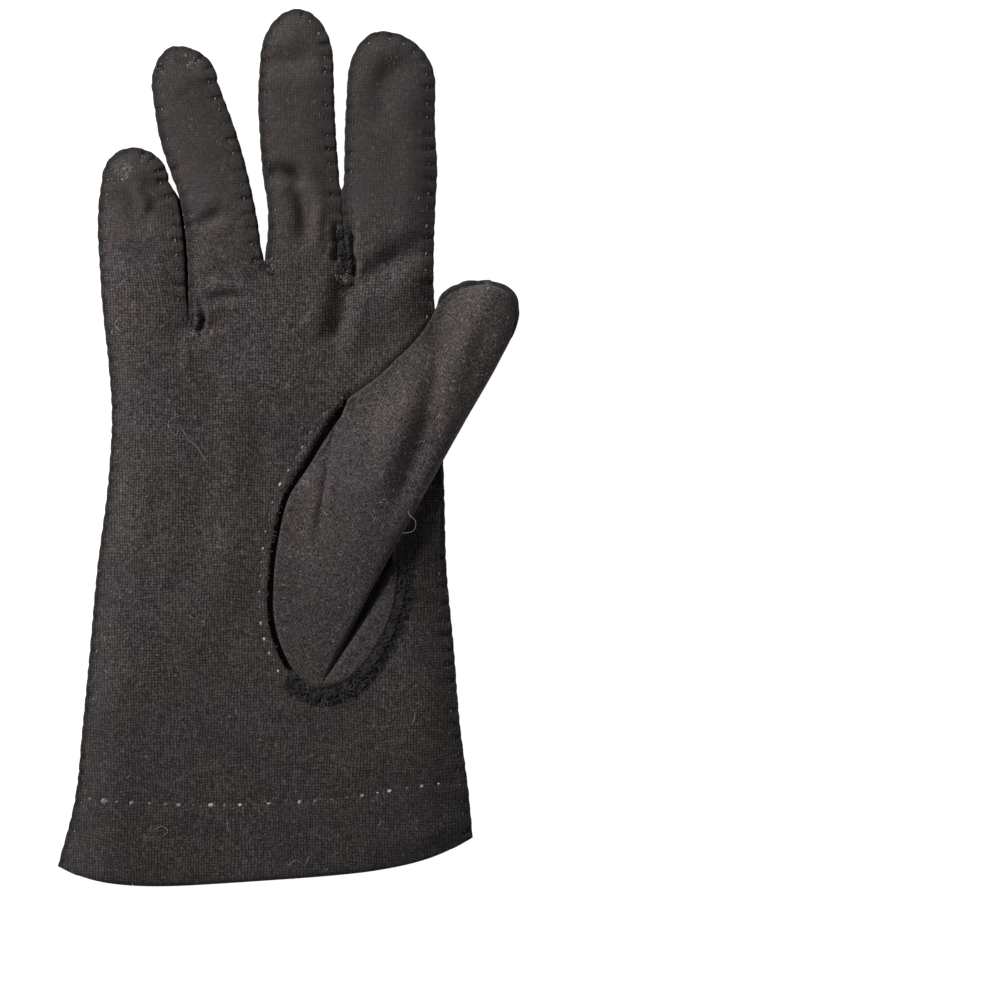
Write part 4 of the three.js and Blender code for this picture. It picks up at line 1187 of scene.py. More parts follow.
def thumb_lift(side, across, closing):
    """Height over the bed: flush with the palm at the stitched side, a round fold at the other."""
    bulge = half_round(across)
    wall = WALL / 2 * np.minimum(bulge / THUMB_PINCH, 1)
    wedge = wall + (THUMB_HALF_DEPTH - WALL / 2) * smooth(across / THUMB_WEDGE)
    half = np.where(across < THUMB_WEDGE, wedge, THUMB_HALF_DEPTH * bulge) * closing
    full = THUMB_CLEARANCE + WALL / 2 + THUMB_HALF_DEPTH
    middle = FLUSH_EDGE + (full - FLUSH_EDGE) * smooth(across / THUMB_CLIMB)
    least = WALL / 2 + LAYER_GAP - FLUSH_GROOVE / 2 * (1 - smooth(across / FLUSH_REACH * GROOVE_PACE))
    return np.maximum(middle + side * half, np.minimum(least, middle))


def thumb_points(side, across, along):
    """The middle of the thumb's cloth; side is 1 in its upper layer and -1 in its lower one."""
    across, along = np.broadcast_arrays(np.asarray(across, float), np.asarray(along, float))
    share = foot_share(side, across)
    ends = [thumb_foot(np.full(across.shape, foot_share(side, end))) for end in (0.0, 1.0)]
    part = across[..., None]
    roundness = thumb_foot(share) - (ends[0] + (ends[1] - ends[0]) * part)
    seam_share = along**SEAM_PACE
    start, end = THUMB_SEAM_LINE.at(seam_share), THUMB_FOLD_LINE.at(along)
    fade = (1 - seam_share) ** (UPPER_FADE if side > 0 else LOWER_FADE)
    flat = start + (end - start) * part + roundness * fade[..., None]
    z = thumb_heights(side, across, along, share, flat)
    return np.concatenate([flat, z[..., None]], axis=-1)


def beyond_fold(points):
    """Distance from the thumb's fold, above 0 on the side away from the thumb."""
    line = THUMB_FOLD_LINE.points
    way = unit(np.gradient(line, axis=0))
    found = np.empty(len(points))
    for start in range(0, len(points), FOLD_BATCH):
        offsets = points[start:start + FOLD_BATCH, None, :] - line[None, :, :]
        nearest = np.linalg.norm(offsets, axis=2).argmin(axis=1)
        offset = offsets[np.arange(len(nearest)), nearest]
        found[start:start + FOLD_BATCH] = offset[:, 0] * way[nearest, 1] - offset[:, 1] * way[nearest, 0]
    return found


def thumb_heights(side, across, along, share, flat):
    """Heights of the thumb's cloth: up from the hole, over its bed and down to its tip."""
    bulge = half_round(across)
    closing = np.sqrt(1 - np.clip((along - THUMB_TIP_FROM) / (1 - THUMB_TIP_FROM), 0, 1) ** TIP_ROUNDNESS)
    foot, points = thumb_foot(share).reshape(-1, 2), flat.reshape(-1, 2)
    low = palm_rest(foot).reshape(share.shape) + hole_value(share, "level") + THUMB_COLLAR
    bed = thumb_bed(points, across.ravel()).reshape(share.shape)
    z = low + (bed + thumb_lift(side, across, closing) - low) * smooth(along / THUMB_RISE_SHARE)
    if side < 0:
        return z - TRENCH_DEPTH * pleat_share(across, along, points)
    depth = crease_depth(points, THUMB_CREASES).reshape(share.shape)
    waves = ripples(points, THUMB_RIPPLES).reshape(share.shape)
    return z + (waves - depth) * smooth(bulge / THUMB_FLAT) * closing


def pleat_share(across, along, points):
    """1 where the lower layer sinks into the pleat under the fold."""
    start, end = TRENCH_END
    pleat = smooth((1 - across) / TRENCH_RIM) * smooth((along - TRENCH_START) / TRENCH_SLOPE)
    pleat *= 1 - smooth((along - start) / (end - start))
    narrow, growth, widest = TRENCH_WIDTH
    rim = np.minimum(narrow + growth * along, widest)
    return pleat * smooth((rim - beyond_fold(points).reshape(across.shape)) / TRENCH_WALL)


def thumb_tube():
    """The tube: an outer and an inner skin joined round the foot, each closed at the tip."""
    along = np.linspace(0, 1, THUMB_RINGS) ** THUMB_PACE * THUMB_LAST_RING
    across = (1 - np.cos(np.linspace(0, math.pi, THUMB_COLUMNS))) / 2
    grid_along, grid_across = np.meshgrid(along, across, indexing="ij")
    upper = thumb_points(1, grid_across, grid_along)
    lower = thumb_points(-1, grid_across, grid_along)[:, ::-1][:, 1:-1]
    rings = np.concatenate([upper, lower], axis=1)
    foot = rings[:1] - (0, 0, THUMB_COLLAR)
    rings = np.concatenate([foot, rings])
    around = np.roll(rings, -1, axis=1) - np.roll(rings, 1, axis=1)
    up = np.concatenate([rings[1:], rings[-1:]]) - np.concatenate([rings[:1], rings[:-1]])
    normal = np.cross(around, up)
    normal /= np.maximum(np.linalg.norm(normal, axis=2), 1e-9)[..., None]
    count = rings.shape[1]
    outer, inner = rings + normal * WALL / 2, (rings - normal * WALL / 2)[:-INNER_SHORTER]
    points = np.vstack([outer.reshape(-1, 3), inner.reshape(-1, 3)])
    start = outer.shape[0] * count
    faces = ring_faces(outer.shape[0], count)
    faces += [face[::-1] for face in ring_faces(inner.shape[0], count, start)]
    for i in range(count):
        after = (i + 1) % count
        faces.append((start + i, start + after, after, i))
    faces += tip_cap(start - count, count)
    faces += [face[::-1] for face in tip_cap(len(points) - count, count)]
    points, faces = facing_out(points, faces)
    return points, faces, thumb_grain(points)


def tip_cap(start, count):
    """Closes a ring whose second half runs back below its first."""
    faces = []
    for i in range(count // 2):
        face = [start + i, start + i + 1, start + (count - i - 1) % count, start + (count - i) % count]
        faces.append(tuple(dict.fromkeys(face)))
    return faces


def thumb_grain(points):
    """The thumb was cut along its own axis."""
    axis = np.array(THUMB_AXIS)
    return np.stack([points[:, :2] @ (axis[1], -axis[0]), points[:, :2] @ axis], axis=1)


# Each strip below is drawn across its seam: how far out from it and how high, in millimetres.

def thumb_edge_places(count):
    """Places up the stitched side, round the tip and a little down the folded side, and the way out."""
    start, end = THUMB_EDGE
    length = 1 - start
    run = np.linspace(0, length + 1 - end, count)
    on_seam = run < length
    along = np.where(on_seam, (start + np.minimum(run, length)) ** (1 / SEAM_PACE), 1 - (run - length))
    along = np.minimum(along, THUMB_LAST_RING)
    seam_side, fold_side = thumb_points(1, np.zeros(count), along), thumb_points(1, np.ones(count), along)
    points = np.where(on_seam[:, None], seam_side, fold_side)
    points = smooth_line(points[::4])[:: SPLINE_STEPS // 4]
    way = np.vstack([points[1:], points[-1:]]) - np.vstack([points[:1], points[:-1]])
    way = unit(way[:, :2])
    return points, np.stack([-way[:, 1], way[:, 0]], axis=1)


def edge_share(count, fade):
    """1 along a strip of this many steps, easing to 0 at both its ends."""
    share = np.linspace(0, 1, count)
    return smooth(np.minimum(share, 1 - share) / fade)


def edge_wave(run, length, seed):
    """How unevenly an edge was cut, along its run."""
    return ripple(np.stack([run, run * 0], axis=1), length, seed)


def beside_rim(share):
    """Points on the hole's edge, points a little further out, and the way out."""
    edge = beside_hole(share, np.zeros(len(share)))
    outer = beside_hole(share, np.full(len(share), RIM_PROBE))
    return edge, outer, unit(outer - edge)


def thumb_edges():
    """Two raw edges side by side along the stitched side and round the tip."""
    points, outward = thumb_edge_places(THUMB_EDGE_STEPS)
    count = len(points)
    run = run_along(points)
    stitches = stitch_runs(run[-1], THUMB_SEED)
    near = bell(from_stitch(run, stitches), SCALLOP_REACH)
    wide = edge_share(count, THUMB_EDGE_FADE)
    bodies = []
    for side, seed in THUMB_STRIPS:
        wave = edge_wave(run, THUMB_WAVE, seed)
        profiles = []
        for i in range(count):
            reach = (THUMB_ALLOWANCE - EDGE_SCALLOP * near[i] + THUMB_EDGE_PLAY * wave[i]) * wide[i]
            lift = side * (THUMB_EDGE_LIFT - THUMB_EDGE_PLAY * near[i])
            spread = side * THUMB_EDGE_PLAY * (1 - near[i])
            middle = [(-1.0, lift * 0.6), (0.0, lift * 0.85), (reach * 0.5, lift), (reach, lift + spread)]
            profiles.append(strip_profile(middle, THUMB_EDGE_WALL))
        body, faces = sweep(points, outward, profiles)
        bodies.append((body, faces, thumb_grain(body)))
    return bodies


def hole_edges():
    """The two raw edges that stand out over the palm round the lower right of the hole."""
    share = np.linspace(HOLE_FLANGE[1], HOLE_FLANGE[0], FLANGE_STEPS)
    edge, outer, outward = beside_rim(share)
    palm = np.maximum(palm_rest(edge), palm_rest(outer))
    run = run_along(edge)
    stitches = stitch_runs(run[-1], FLANGE_SEED)
    near = bell(from_stitch(run, stitches), SCALLOP_REACH)
    wide = edge_share(FLANGE_STEPS, FLANGE_FADE)
    inset = hole_value(share, "gap") + WALL / 2
    bodies = []
    for level, thickness, reach, seed in FLANGE_STRIPS:
        wave = edge_wave(run, FLANGE_WAVE, seed)
        profiles = []
        for i in range(FLANGE_STEPS):
            far = reach - FLANGE_SINK * near[i] + FLANGE_WAVER[0] * wave[i]
            far *= FLANGE_END + (1 - FLANGE_END) * wide[i]
            z = level - FLANGE_SINK * near[i] + FLANGE_WAVER[1] * wave[i] - FLANGE_END_DROP * (1 - wide[i])
            middle = [
                (-inset[i] - 0.3, z - 0.9), (-inset[i] * 0.6, z - 0.05), (far * 0.45, z - 0.12), (far, z),
            ]
            profiles.append(strip_profile(middle, thickness))
        origins = np.column_stack([edge, palm])
        body, faces = sweep(origins, outward, profiles)
        bodies.append((body, faces, thumb_grain(body)))
    return bodies


def hole_curl():
    """The palm's raw edge, curled up and frayed beside the upper end of the slit."""
    edge, _, outward = beside_rim(np.linspace(*HOLE_CURL, CURL_STEPS))
    run = run_along(edge)
    rough, curl = (edge_wave(run, *wave) for wave in CURL_WAVES)
    wide = edge_share(CURL_STEPS, CURL_FADE)
    profiles = []
    for i in range(CURL_STEPS):
        far = 0.3 + (1.5 + 0.3 * rough[i] + 0.3 * curl[i]) * wide[i]
        high = 0.15 + (0.75 + 0.16 * rough[i]) * wide[i]
        middle = [
            (0.15, -0.9), (-0.35 * wide[i], high * 0.3), (0.1, high),
            (far * 0.6, high * 0.9), (far, high * 0.45),
        ]
        profiles.append(strip_profile(middle, CURL_WALL))
    body, faces = sweep(np.column_stack([edge, palm_rest(edge)]), outward, profiles)
    return body, faces, cloth_grain(body[:, :2])


def hole_allowance():
    """The thumb's seam allowance, turned out under the palm's raw edge on the left of the hole."""
    share = np.linspace(*HOLE_LIP, ALLOWANCE_STEPS)
    edge, outer, outward = beside_rim(share)
    palm, beyond = palm_rest(edge), palm_rest(outer)
    wide = edge_share(ALLOWANCE_STEPS, ALLOWANCE_FADE)
    profiles = []
    for i in range(ALLOWANCE_STEPS):
        gap = hole_value(share[i], "gap")
        drop = beyond[i] - palm[i] - WALL
        foot = -gap - WALL / 2
        middle = [
            (foot, -0.6), (foot, -0.6 * CREVICE_DEPTH), (-gap * 0.5 - 0.3, -CREVICE_DEPTH),
            (0.6, drop - 0.5 * CREVICE_DEPTH), (0.7 + 1.4 * wide[i], drop - 0.8),
        ]
        profiles.append(strip_profile(middle, ALLOWANCE_WALL))
    body, faces = sweep(np.column_stack([edge, palm]), outward, profiles)
    return body, faces, thumb_grain(body)


# Fourchettes

def fork_side(finger, side):
    """Places up one side of a finger, the way into it and how far its fourchette has opened."""
    line = side_line(finger["rows"], side)
    share = np.linspace(0, 1, FORK_PROBES)
    fork = smooth((finger["tip"][1] - line.at(share)[:, 1]) / FORK_TAPER)
    end = share[fork >= FORK_END_SHARE].max()
    share = np.linspace(0, end, FORK_STEPS)
    points = line.at(share)
    way = line.at(np.minimum(share + 1e-3, 1)) - line.at(share - 1e-3)
    turn = -math.pi / 2 if side == "left" else math.pi / 2
    inward = np.arctan2(way[:, 1], way[:, 0]) + turn
    return points, inward, smooth((finger["tip"][1] - points[:, 1]) / FORK_TAPER)


def fork_middle(fork):
    """The middle of a fourchette's cloth, from its upper raw edge round to its lower one."""
    half = FORK_WALL / 2
    top = SIDE_SEAM_Z + CLEARANCE / 2 + PALM_SEAM_RISE * fork - LAYER_GAP - half
    bottom = SIDE_SEAM_Z - CLEARANCE / 2 - BACK_SEAM_DROP * fork + LAYER_GAP + half
    inner = SEAM_ALLOWANCE + half
    bend = min(FORK_BEND, (top - bottom) / 4)
    middle = (top + bottom) / 2
    return [
        (FORK_RECESS, top), (SEAM_ALLOWANCE * 0.6, top), (inner - 0.25, top - 0.1), (inner + 0.1, top - bend),
        (inner + FORK_BOW, middle),
        (inner + 0.1, bottom + bend), (inner - 0.25, bottom + 0.1), (SEAM_ALLOWANCE * 0.6, bottom),
        (FORK_RECESS, bottom),
    ]


def fourchette(first, second):
    """Down the first finger, round the crotch, and up the second."""
    down, up = fork_side(first, "right"), fork_side(second, "left")
    turns = np.linspace(0, 1, CROTCH_STEPS)[1:-1]
    around = down[1][0] + (up[1][0] + 2 * math.pi - down[1][0]) * turns
    points = np.vstack([down[0][::-1], np.repeat(down[0][:1], len(turns), axis=0), up[0]])
    inward = np.concatenate([down[1][::-1], around, up[1]])
    fork = np.concatenate([down[2][::-1], np.ones(len(turns)), up[2]])
    origins = np.column_stack([points, np.zeros(len(points))])
    outwards = np.stack([np.cos(inward), np.sin(inward)], axis=1)
    profiles = [strip_profile(fork_middle(f), FORK_WALL) for f in fork]
    body, faces = sweep(origins, outwards, profiles)
    run = run_along(points)
    count = len(profiles[0])
    across = np.linspace(0, FORK_CLOTH, count)
    cloth = np.stack([np.tile(across, len(points)), np.repeat(run, count)], axis=1)
    return body, faces, cloth


# Hem bands

def hem_layout():
    """Flat points and triangles of the band turned in behind the cuff."""
    left, right = side_line(HAND_ROWS, "left"), side_line(HAND_ROWS, "right")
    across = np.linspace(HEM_SIDE_SHARE, 1 - HEM_SIDE_SHARE, HEM_COLUMNS)
    flat = []
    for j in range(HEM_ROWS):
        up = HEM_DEPTH_SHARE * j / (HEM_ROWS - 1)
        a, b = left.at(up), right.at(up)
        sag = CUFF_SAG * (1 - np.abs(2 * across - 1) ** HEM_ROUNDNESS) * (1 - up)
        row = a + (b - a) * across[:, None]
        row[:, 1] += FOLD_WIDTH * (1 - up / HEM_DEPTH_SHARE) - sag
        flat.append(row)
    return np.vstack(flat), grid_triangles(HEM_ROWS, HEM_COLUMNS)


def cuff_share(flat):
    """1 where the hem lies behind the cuff, and 0 at its corners."""
    left, right = CUFF[0], CUFF[-1]
    share = (flat - left) @ (right - left) / ((right - left) ** 2).sum()
    first, last = share - HEM_SIDE_SHARE, 1 - HEM_SIDE_SHARE - share
    return smooth(first / HEM_CORNER) * smooth(last / HEM_CORNER)


def fold_rounding(flat):
    """0 at the cuff's edge and 1 where its round fold ends."""
    near = CUFF_SEAM.distance(flat)
    return np.sqrt(np.maximum(0, 1 - (1 - np.clip(near / FOLD_RADIUS, 0, 1)) ** 2))


def fold_drop(flat):
    """How far the outer face falls towards the cuff's folded edge."""
    return (WALL * FOLD_DROP) * (1 - fold_rounding(flat)) * cuff_share(flat)


def panel_wall(flat):
    """The panel's wall, at the cuff's fold as thick as the panel and its hem together, and rounded."""
    near = CUFF_SEAM.distance(flat)
    wall = WALL + (WALL + LAYER_GAP) * ((near < FOLD_WIDTH) * cuff_share(flat))
    round_share = np.maximum(fold_rounding(flat), 1 - cuff_share(flat))
    return wall * (FOLD_THINNEST + (1 - FOLD_THINNEST) * round_share)


def panel(side, spacing, height, up):
    """The palm or the back, its outer face up or down."""
    flat, triangles = panel_layout(spacing, side == "palm")
    lowered = edge_thinning(flat)
    z = height(flat) - up * lowered - up * fold_drop(flat)
    wall = panel_wall(flat) - 2 * lowered
    placed = scalloped(flat, seam_stitches(), side)
    return cloth_slab(placed, triangles, z, wall, cloth_grain(flat), face_up=up > 0)


# Blender objects

def settings():
    """What the panel is set to."""
    return bpy.context.scene.evening_glove


def linear(colour):
    """A linear colour from an sRGB hex value."""
    parts = [int(colour[i:i + 2], 16) / 255 for i in (1, 3, 5)]
    return [part / 12.92 if part <= 0.04045 else ((part + 0.055) / 1.055) ** 2.4 for part in parts]


def linked(name, data):
    """A mesh, a light or a camera as an object of the scene."""
    piece = bpy.data.objects.new(name, data)
    bpy.context.scene.collection.objects.link(piece)
    return piece


def bare_mesh(name, points, faces=()):
    """A mesh in metres from points in millimetres."""
    mesh = bpy.data.meshes.new(name)
    mesh.from_pydata((points * MM).tolist(), [], faces)
    return mesh


def make_mesh(name, body):
    """A smooth mesh at the origin, with its place on the cloth in metres as a UV map."""
    points, faces, cloth = body
    mesh = bare_mesh(name, points, faces)
    mesh.validate()
    mesh.shade_smooth()
    corners = np.zeros(len(mesh.loops), np.int32)
    mesh.loops.foreach_get("vertex_index", corners)
    layer = mesh.uv_layers.new(name="cloth")
    layer.data.foreach_set("uv", (cloth[corners] * MM).astype(np.float32).ravel())
    return linked(name, mesh)


def paint_seam_shade(piece):
    """Stores painted shade at each point: how much the cloth is darkened beside the seams, most in the pucker
    at each stitch, and at the cuff's fold, where the cloth rolls away into shade.
    """
    mesh = piece.data
    points = np.zeros(len(mesh.vertices) * 3, np.float32)
    mesh.vertices.foreach_get("co", points)
    flat = points.reshape(-1, 3)[:, :2].astype(float) / MM
    place = SEAM.near(flat)
    distance, run = place["distance"], place["run"]
    drawn = bell(from_stitch(run, seam_stitches()), SHADE_WIDTH) * stitch_pull(run, seam_stitches())
    shade = smooth(1 - distance / PAINTED_SEAM_SHADE_REACH) * (SHADE_BETWEEN + (1 - SHADE_BETWEEN) * drawn)
    fold = CUFF_SHADE * smooth(1 - CUFF_SEAM.distance(flat) / CUFF_SHADE_REACH)
    shade = np.minimum(np.maximum(shade, fold), 1)
    # The attribute named seam carries this painted shade to the knit's material.
    layer = mesh.attributes.new("seam", "FLOAT", "POINT")
    layer.data.foreach_set("value", shade.astype(np.float32))
    return piece


def dress(piece, material, slot, *nodes):
    """Gives a finished piece its material and ties it to the frame."""
    if material is not None:
        piece.data.materials.clear()
        piece.data.materials.append(material)
    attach(piece, "root")
    if nodes:
        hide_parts(*nodes)
    return piece


def add(tree, kind, inputs=None, **values):
    """Adds a node, sets its values, and links or sets its inputs."""
    node = tree.nodes.new(kind)
    for name, value in values.items():
        setattr(node, name, value)
    for name, source in (inputs or {}).items():
        if isinstance(source, bpy.types.NodeSocket):
            tree.links.new(source, node.inputs[name])
        else:
            node.inputs[name].default_value = source
    return node


def new_material(name):
    material = bpy.data.materials.new(name)
    material.use_nodes = True
    material.node_tree.nodes.clear()
    return material, material.node_tree


def ramp(tree, value, low, high, to_low=0.0, to_high=1.0):
    """A value stretched from one range to another and kept within it."""
    return add(tree, "ShaderNodeMapRange", {
        "Value": value, "From Min": low, "From Max": high, "To Min": to_low, "To Max": to_high,
    }).outputs[0]


def calculated(tree, operation, *values):
    return add(tree, "ShaderNodeMath", dict(enumerate(values)), operation=operation).outputs[0]


def product(tree, first, second):
    return calculated(tree, "MULTIPLY", first, second)


def noise(tree, place, size, detail=2.0, roughness=0.5, seed=0.0):
    """Noise whose lumps are about this long, in metres."""
    return add(tree, "ShaderNodeTexNoise", {
        "Vector": place, "W": seed, "Scale": 1 / size, "Detail": detail, "Roughness": roughness,
    }, noise_dimensions="4D").outputs["Fac"]


def tinted(tree, colour, tint, amount):
    """A colour multiplied by a tint where the amount says so."""
    return add(tree, "ShaderNodeMix", {
        "Factor": amount, "A": colour, "B": (*tint, 1),
    }, data_type="RGBA", blend_type="MULTIPLY").outputs["Result"]


def scaled(tree, vector, factor):
    """A vector made longer, or a colour made brighter, by a factor."""
    return add(tree, "ShaderNodeVectorMath", {0: vector, "Scale": factor}, operation="SCALE").outputs[0]


def joined_vectors(tree, operation, first, second):
    return add(tree, "ShaderNodeVectorMath", {0: first, 1: second}, operation=operation).outputs[0]


def knit_noise(tree, solid, kind, *to):
    """One of the knit's noises, stretched to the range that is given or else to its own."""
    size, detail, roughness, seed, low, high, *own = KNIT_NOISES[kind]
    return ramp(tree, noise(tree, solid, size, detail, roughness, seed), low, high, *(to or own))


def wandering_place(tree, place, solid):
    """The place on the cloth, shifted a little, since no rib runs quite straight."""
    drift = add(tree, "ShaderNodeTexNoise", {"Vector": solid, "Scale": 1 / LOOP_DRIFT_SIZE, "Detail": 3.0})
    centred = joined_vectors(tree, "SUBTRACT", drift.outputs["Color"], (0.5, 0.5, 0.5))
    return joined_vectors(tree, "ADD", place, scaled(tree, centred, LOOP_DRIFT))


def rib_lines(tree, place, solid, rib):
    """Thin dark lines between the ribs and between the courses, and loops that differ in shade."""
    across, up = settings().rib_pitch, settings().rib_pitch * COURSE_PITCH
    warped = wandering_place(tree, place, solid)
    parts = add(tree, "ShaderNodeSeparateXYZ", {0: warped})
    loop = joined_vectors(tree, "SNAP", warped, (across, up, 1))
    shade = add(tree, "ShaderNodeTexWhiteNoise", {"Vector": loop}, noise_dimensions="2D").outputs["Value"]
    lines = []
    for axis, step, weight in (("X", across, 1.0), ("Y", up, COURSE_WEIGHT)):
        turn = product(tree, parts.outputs[axis], 2 * math.pi / step)
        lines.append(ramp(tree, calculated(tree, "COSINE", turn), 0.0, 1.0, 0.0, weight))
    uneven = knit_noise(tree, solid, "uneven")
    lines = product(tree, calculated(tree, "MAXIMUM", *lines), uneven)
    loops = calculated(tree, "MULTIPLY_ADD", shade, -LOOP_SHADE, LOOP_SHADE)
    return product(tree, calculated(tree, "ADD", lines, loops), rib)


def tone_with_wear_and_painted_shade(tree, solid, axes, tone):
    """The tone of the cloth: worn in patches, felted on the fingers, darker towards the cuff, paler at the
    thumb's tip, and darkened by painted shade along its seams and at the cuff's fold.
    """
    tone = product(tree, tone, knit_noise(tree, solid, "worn"))
    # Painted shade beside the seams and at the cuff's fold, read from the attribute named seam.
    edge = add(tree, "ShaderNodeAttribute", attribute_name="seam").outputs["Fac"]
    tone = product(tree, tone, calculated(tree, "MULTIPLY_ADD", edge, -PAINTED_SEAM_SHADE, 1.0))
    for axis, start, end, first, last in (
        ("Y", FELTED_FROM, FELTED_TO, 1.0, FELTED_TONE),
        ("Y", *CUFF_DARKENING, CUFF_DARKENING_TONE, 1.0),
        ("X", TIP_FROM, TIP_TO, 1.0, TIP_TONE),
    ):
        share = ramp(tree, axes[axis], start * MM, end * MM, first, last)
        tone = product(tree, tone, share)
    return tone


def knit_material(name, colour, rib=1.0, fuzz=1.0):
    """Double knit of fine yarn, dyed black and washed: matt, with thin dark lines between its ribs and
    courses, a haze of paler fibre ends, and a little brown and purple where the dye has gone."""
    material, tree = new_material(name)
    place = add(tree, "ShaderNodeUVMap", uv_map="cloth").outputs["UV"]
    solid = add(tree, "ShaderNodeTexCoord").outputs["Object"]
    axes = add(tree, "ShaderNodeSeparateXYZ", {0: solid}).outputs
    felted = ramp(tree, axes["Y"], FELTED_FROM * MM, FELTED_TO * MM, 1.0, FELTED_RIB)
    lines = product(tree, rib_lines(tree, place, solid, rib), felted)
    yarn = product(tree, knit_noise(tree, solid, "yarn", -fuzz, fuzz), felted)
    ends = knit_noise(tree, solid, "ends", 0.0, fuzz)
    tone = calculated(tree, "MULTIPLY_ADD", yarn, YARN_TONE, KNIT_TONE)
    tone = calculated(tree, "MULTIPLY_ADD", ends, ENDS_TONE, tone)
    tone = calculated(tree, "MULTIPLY_ADD", lines, -LINE_TONE, tone)
    tone = tone_with_wear_and_painted_shade(tree, solid, axes, calculated(tree, "MAXIMUM", tone, LEAST_TONE))
    dyed = scaled(tree, tuple(colour), tone)
    dyed = tinted(tree, dyed, BROWN_TINT, knit_noise(tree, solid, "brown"))
    dyed = tinted(tree, dyed, PURPLE_TINT, knit_noise(tree, solid, "purple"))
    relief = calculated(tree, "SUBTRACT", product(tree, yarn, YARN_RELIEF), lines)
    bump = add(tree, "ShaderNodeBump", {"Height": relief, "Strength": 0.6, "Distance": KNIT_RELIEF})
    shader = add(tree, "ShaderNodeBsdfPrincipled", {
        "Base Color": dyed, "Roughness": 0.95, "IOR": 1.45, "Specular IOR Level": 0.12,
        "Sheen Weight": 0.04, "Sheen Roughness": 0.6, "Normal": bump.outputs[0],
    })
    add(tree, "ShaderNodeOutputMaterial", {"Surface": shader.outputs[0]})
    return material


def thread_material(name, colour, roughness, tones, pale_from):
    """Twisted cotton thread, or a loose fibre: here and there paler than the knit, with a soft shine. On the
    stitches that paleness is painted highlight for the sheen of black thread; on lint and yarn ends it is the
    fibre's own tone.
    """
    material, tree = new_material(name)
    solid = add(tree, "ShaderNodeTexCoord").outputs["Object"]
    pale_stretch = noise(tree, solid, PALE_STRETCH_LENGTH, 1.0, seed=8.0)
    pale_stretch = ramp(tree, pale_stretch, pale_from, pale_from + PALE_STRETCH_RANGE, *tones)
    twist = ramp(tree, noise(tree, solid, TWIST_LENGTH, 2.0), *TWIST_SHADES)
    dyed = scaled(tree, tuple(colour), product(tree, pale_stretch, twist))
    shader = add(tree, "ShaderNodeBsdfPrincipled", {
        "Base Color": dyed, "Roughness": roughness, "IOR": 1.5, "Specular IOR Level": 0.3,
    })
    add(tree, "ShaderNodeOutputMaterial", {"Surface": shader.outputs[0]})
    return material


# Geometry Nodes for what repeats

def node_group(name, inputs):
    """An empty tree with a geometry in and out, and named inputs with their defaults."""
    tree = bpy.data.node_groups.new(name, "GeometryNodeTree")
    tree.interface.new_socket("Geometry", in_out="INPUT", socket_type="NodeSocketGeometry")
    for label, kind, value in inputs:
        socket = tree.interface.new_socket(label, in_out="INPUT", socket_type="NodeSocket" + kind)
        if value is not None:
            socket.default_value = value
    tree.interface.new_socket("Geometry", in_out="OUTPUT", socket_type="NodeSocketGeometry")
    return tree, add(tree, "NodeGroupInput").outputs


def finish_group(tree, given, points, shape, rotation, scale):
    """Sets a shape at each point, realizes the instances and gives them their material."""
    placed = add(tree, "GeometryNodeInstanceOnPoints", {
        "Points": points, "Instance": shape.outputs[0], "Rotation": rotation.outputs[0], "Scale": scale,
    })
    real = add(tree, "GeometryNodeRealizeInstances", {0: placed.outputs[0]})
    painted = add(tree, "GeometryNodeSetMaterial", {
        "Geometry": real.outputs[0], "Material": given["Material"],
    })
    add(tree, "NodeGroupOutput", {0: painted.outputs[0]})
    return tree


def stitch_tree():
    """A prick stitch at each point: a short bead of thread, set in the direction of the seam."""
    tree, given = node_group("stitch row", (
        ("Length", "Float", 0.001), ("Width", "Float", 0.0005), ("Unevenness", "Float", 0.3),
        ("Seed", "Int", 5), ("Material", "Material", None),
    ))
    bead = add(tree, "GeometryNodeMeshUVSphere", {"Segments": 8, "Rings": 6, "Radius": 0.5})
    along = add(tree, "GeometryNodeInputNamedAttribute", {"Name": "along"}, data_type="FLOAT_VECTOR")
    facing = add(tree, "GeometryNodeInputNamedAttribute", {"Name": "facing"}, data_type="FLOAT_VECTOR")
    turned = add(tree, "FunctionNodeAlignRotationToVector", {"Vector": along.outputs[0]}, axis="X")
    upright = add(
        tree, "FunctionNodeAlignRotationToVector",
        {"Rotation": turned.outputs[0], "Vector": facing.outputs[0]}, axis="Z", pivot_axis="X",
    )
    least = calculated(tree, "SUBTRACT", 1.0, given["Unevenness"])
    most = calculated(tree, "ADD", 1.0, given["Unevenness"])
    size = add(tree, "FunctionNodeRandomValue", {2: least, 3: most, "Seed": given["Seed"]}, data_type="FLOAT")
    shape = add(tree, "ShaderNodeCombineXYZ", {0: given["Length"], 1: given["Width"], 2: given["Width"]})
    scale = scaled(tree, shape.outputs[0], size.outputs[1])
    return finish_group(tree, given, given["Geometry"], bead, upright, scale)


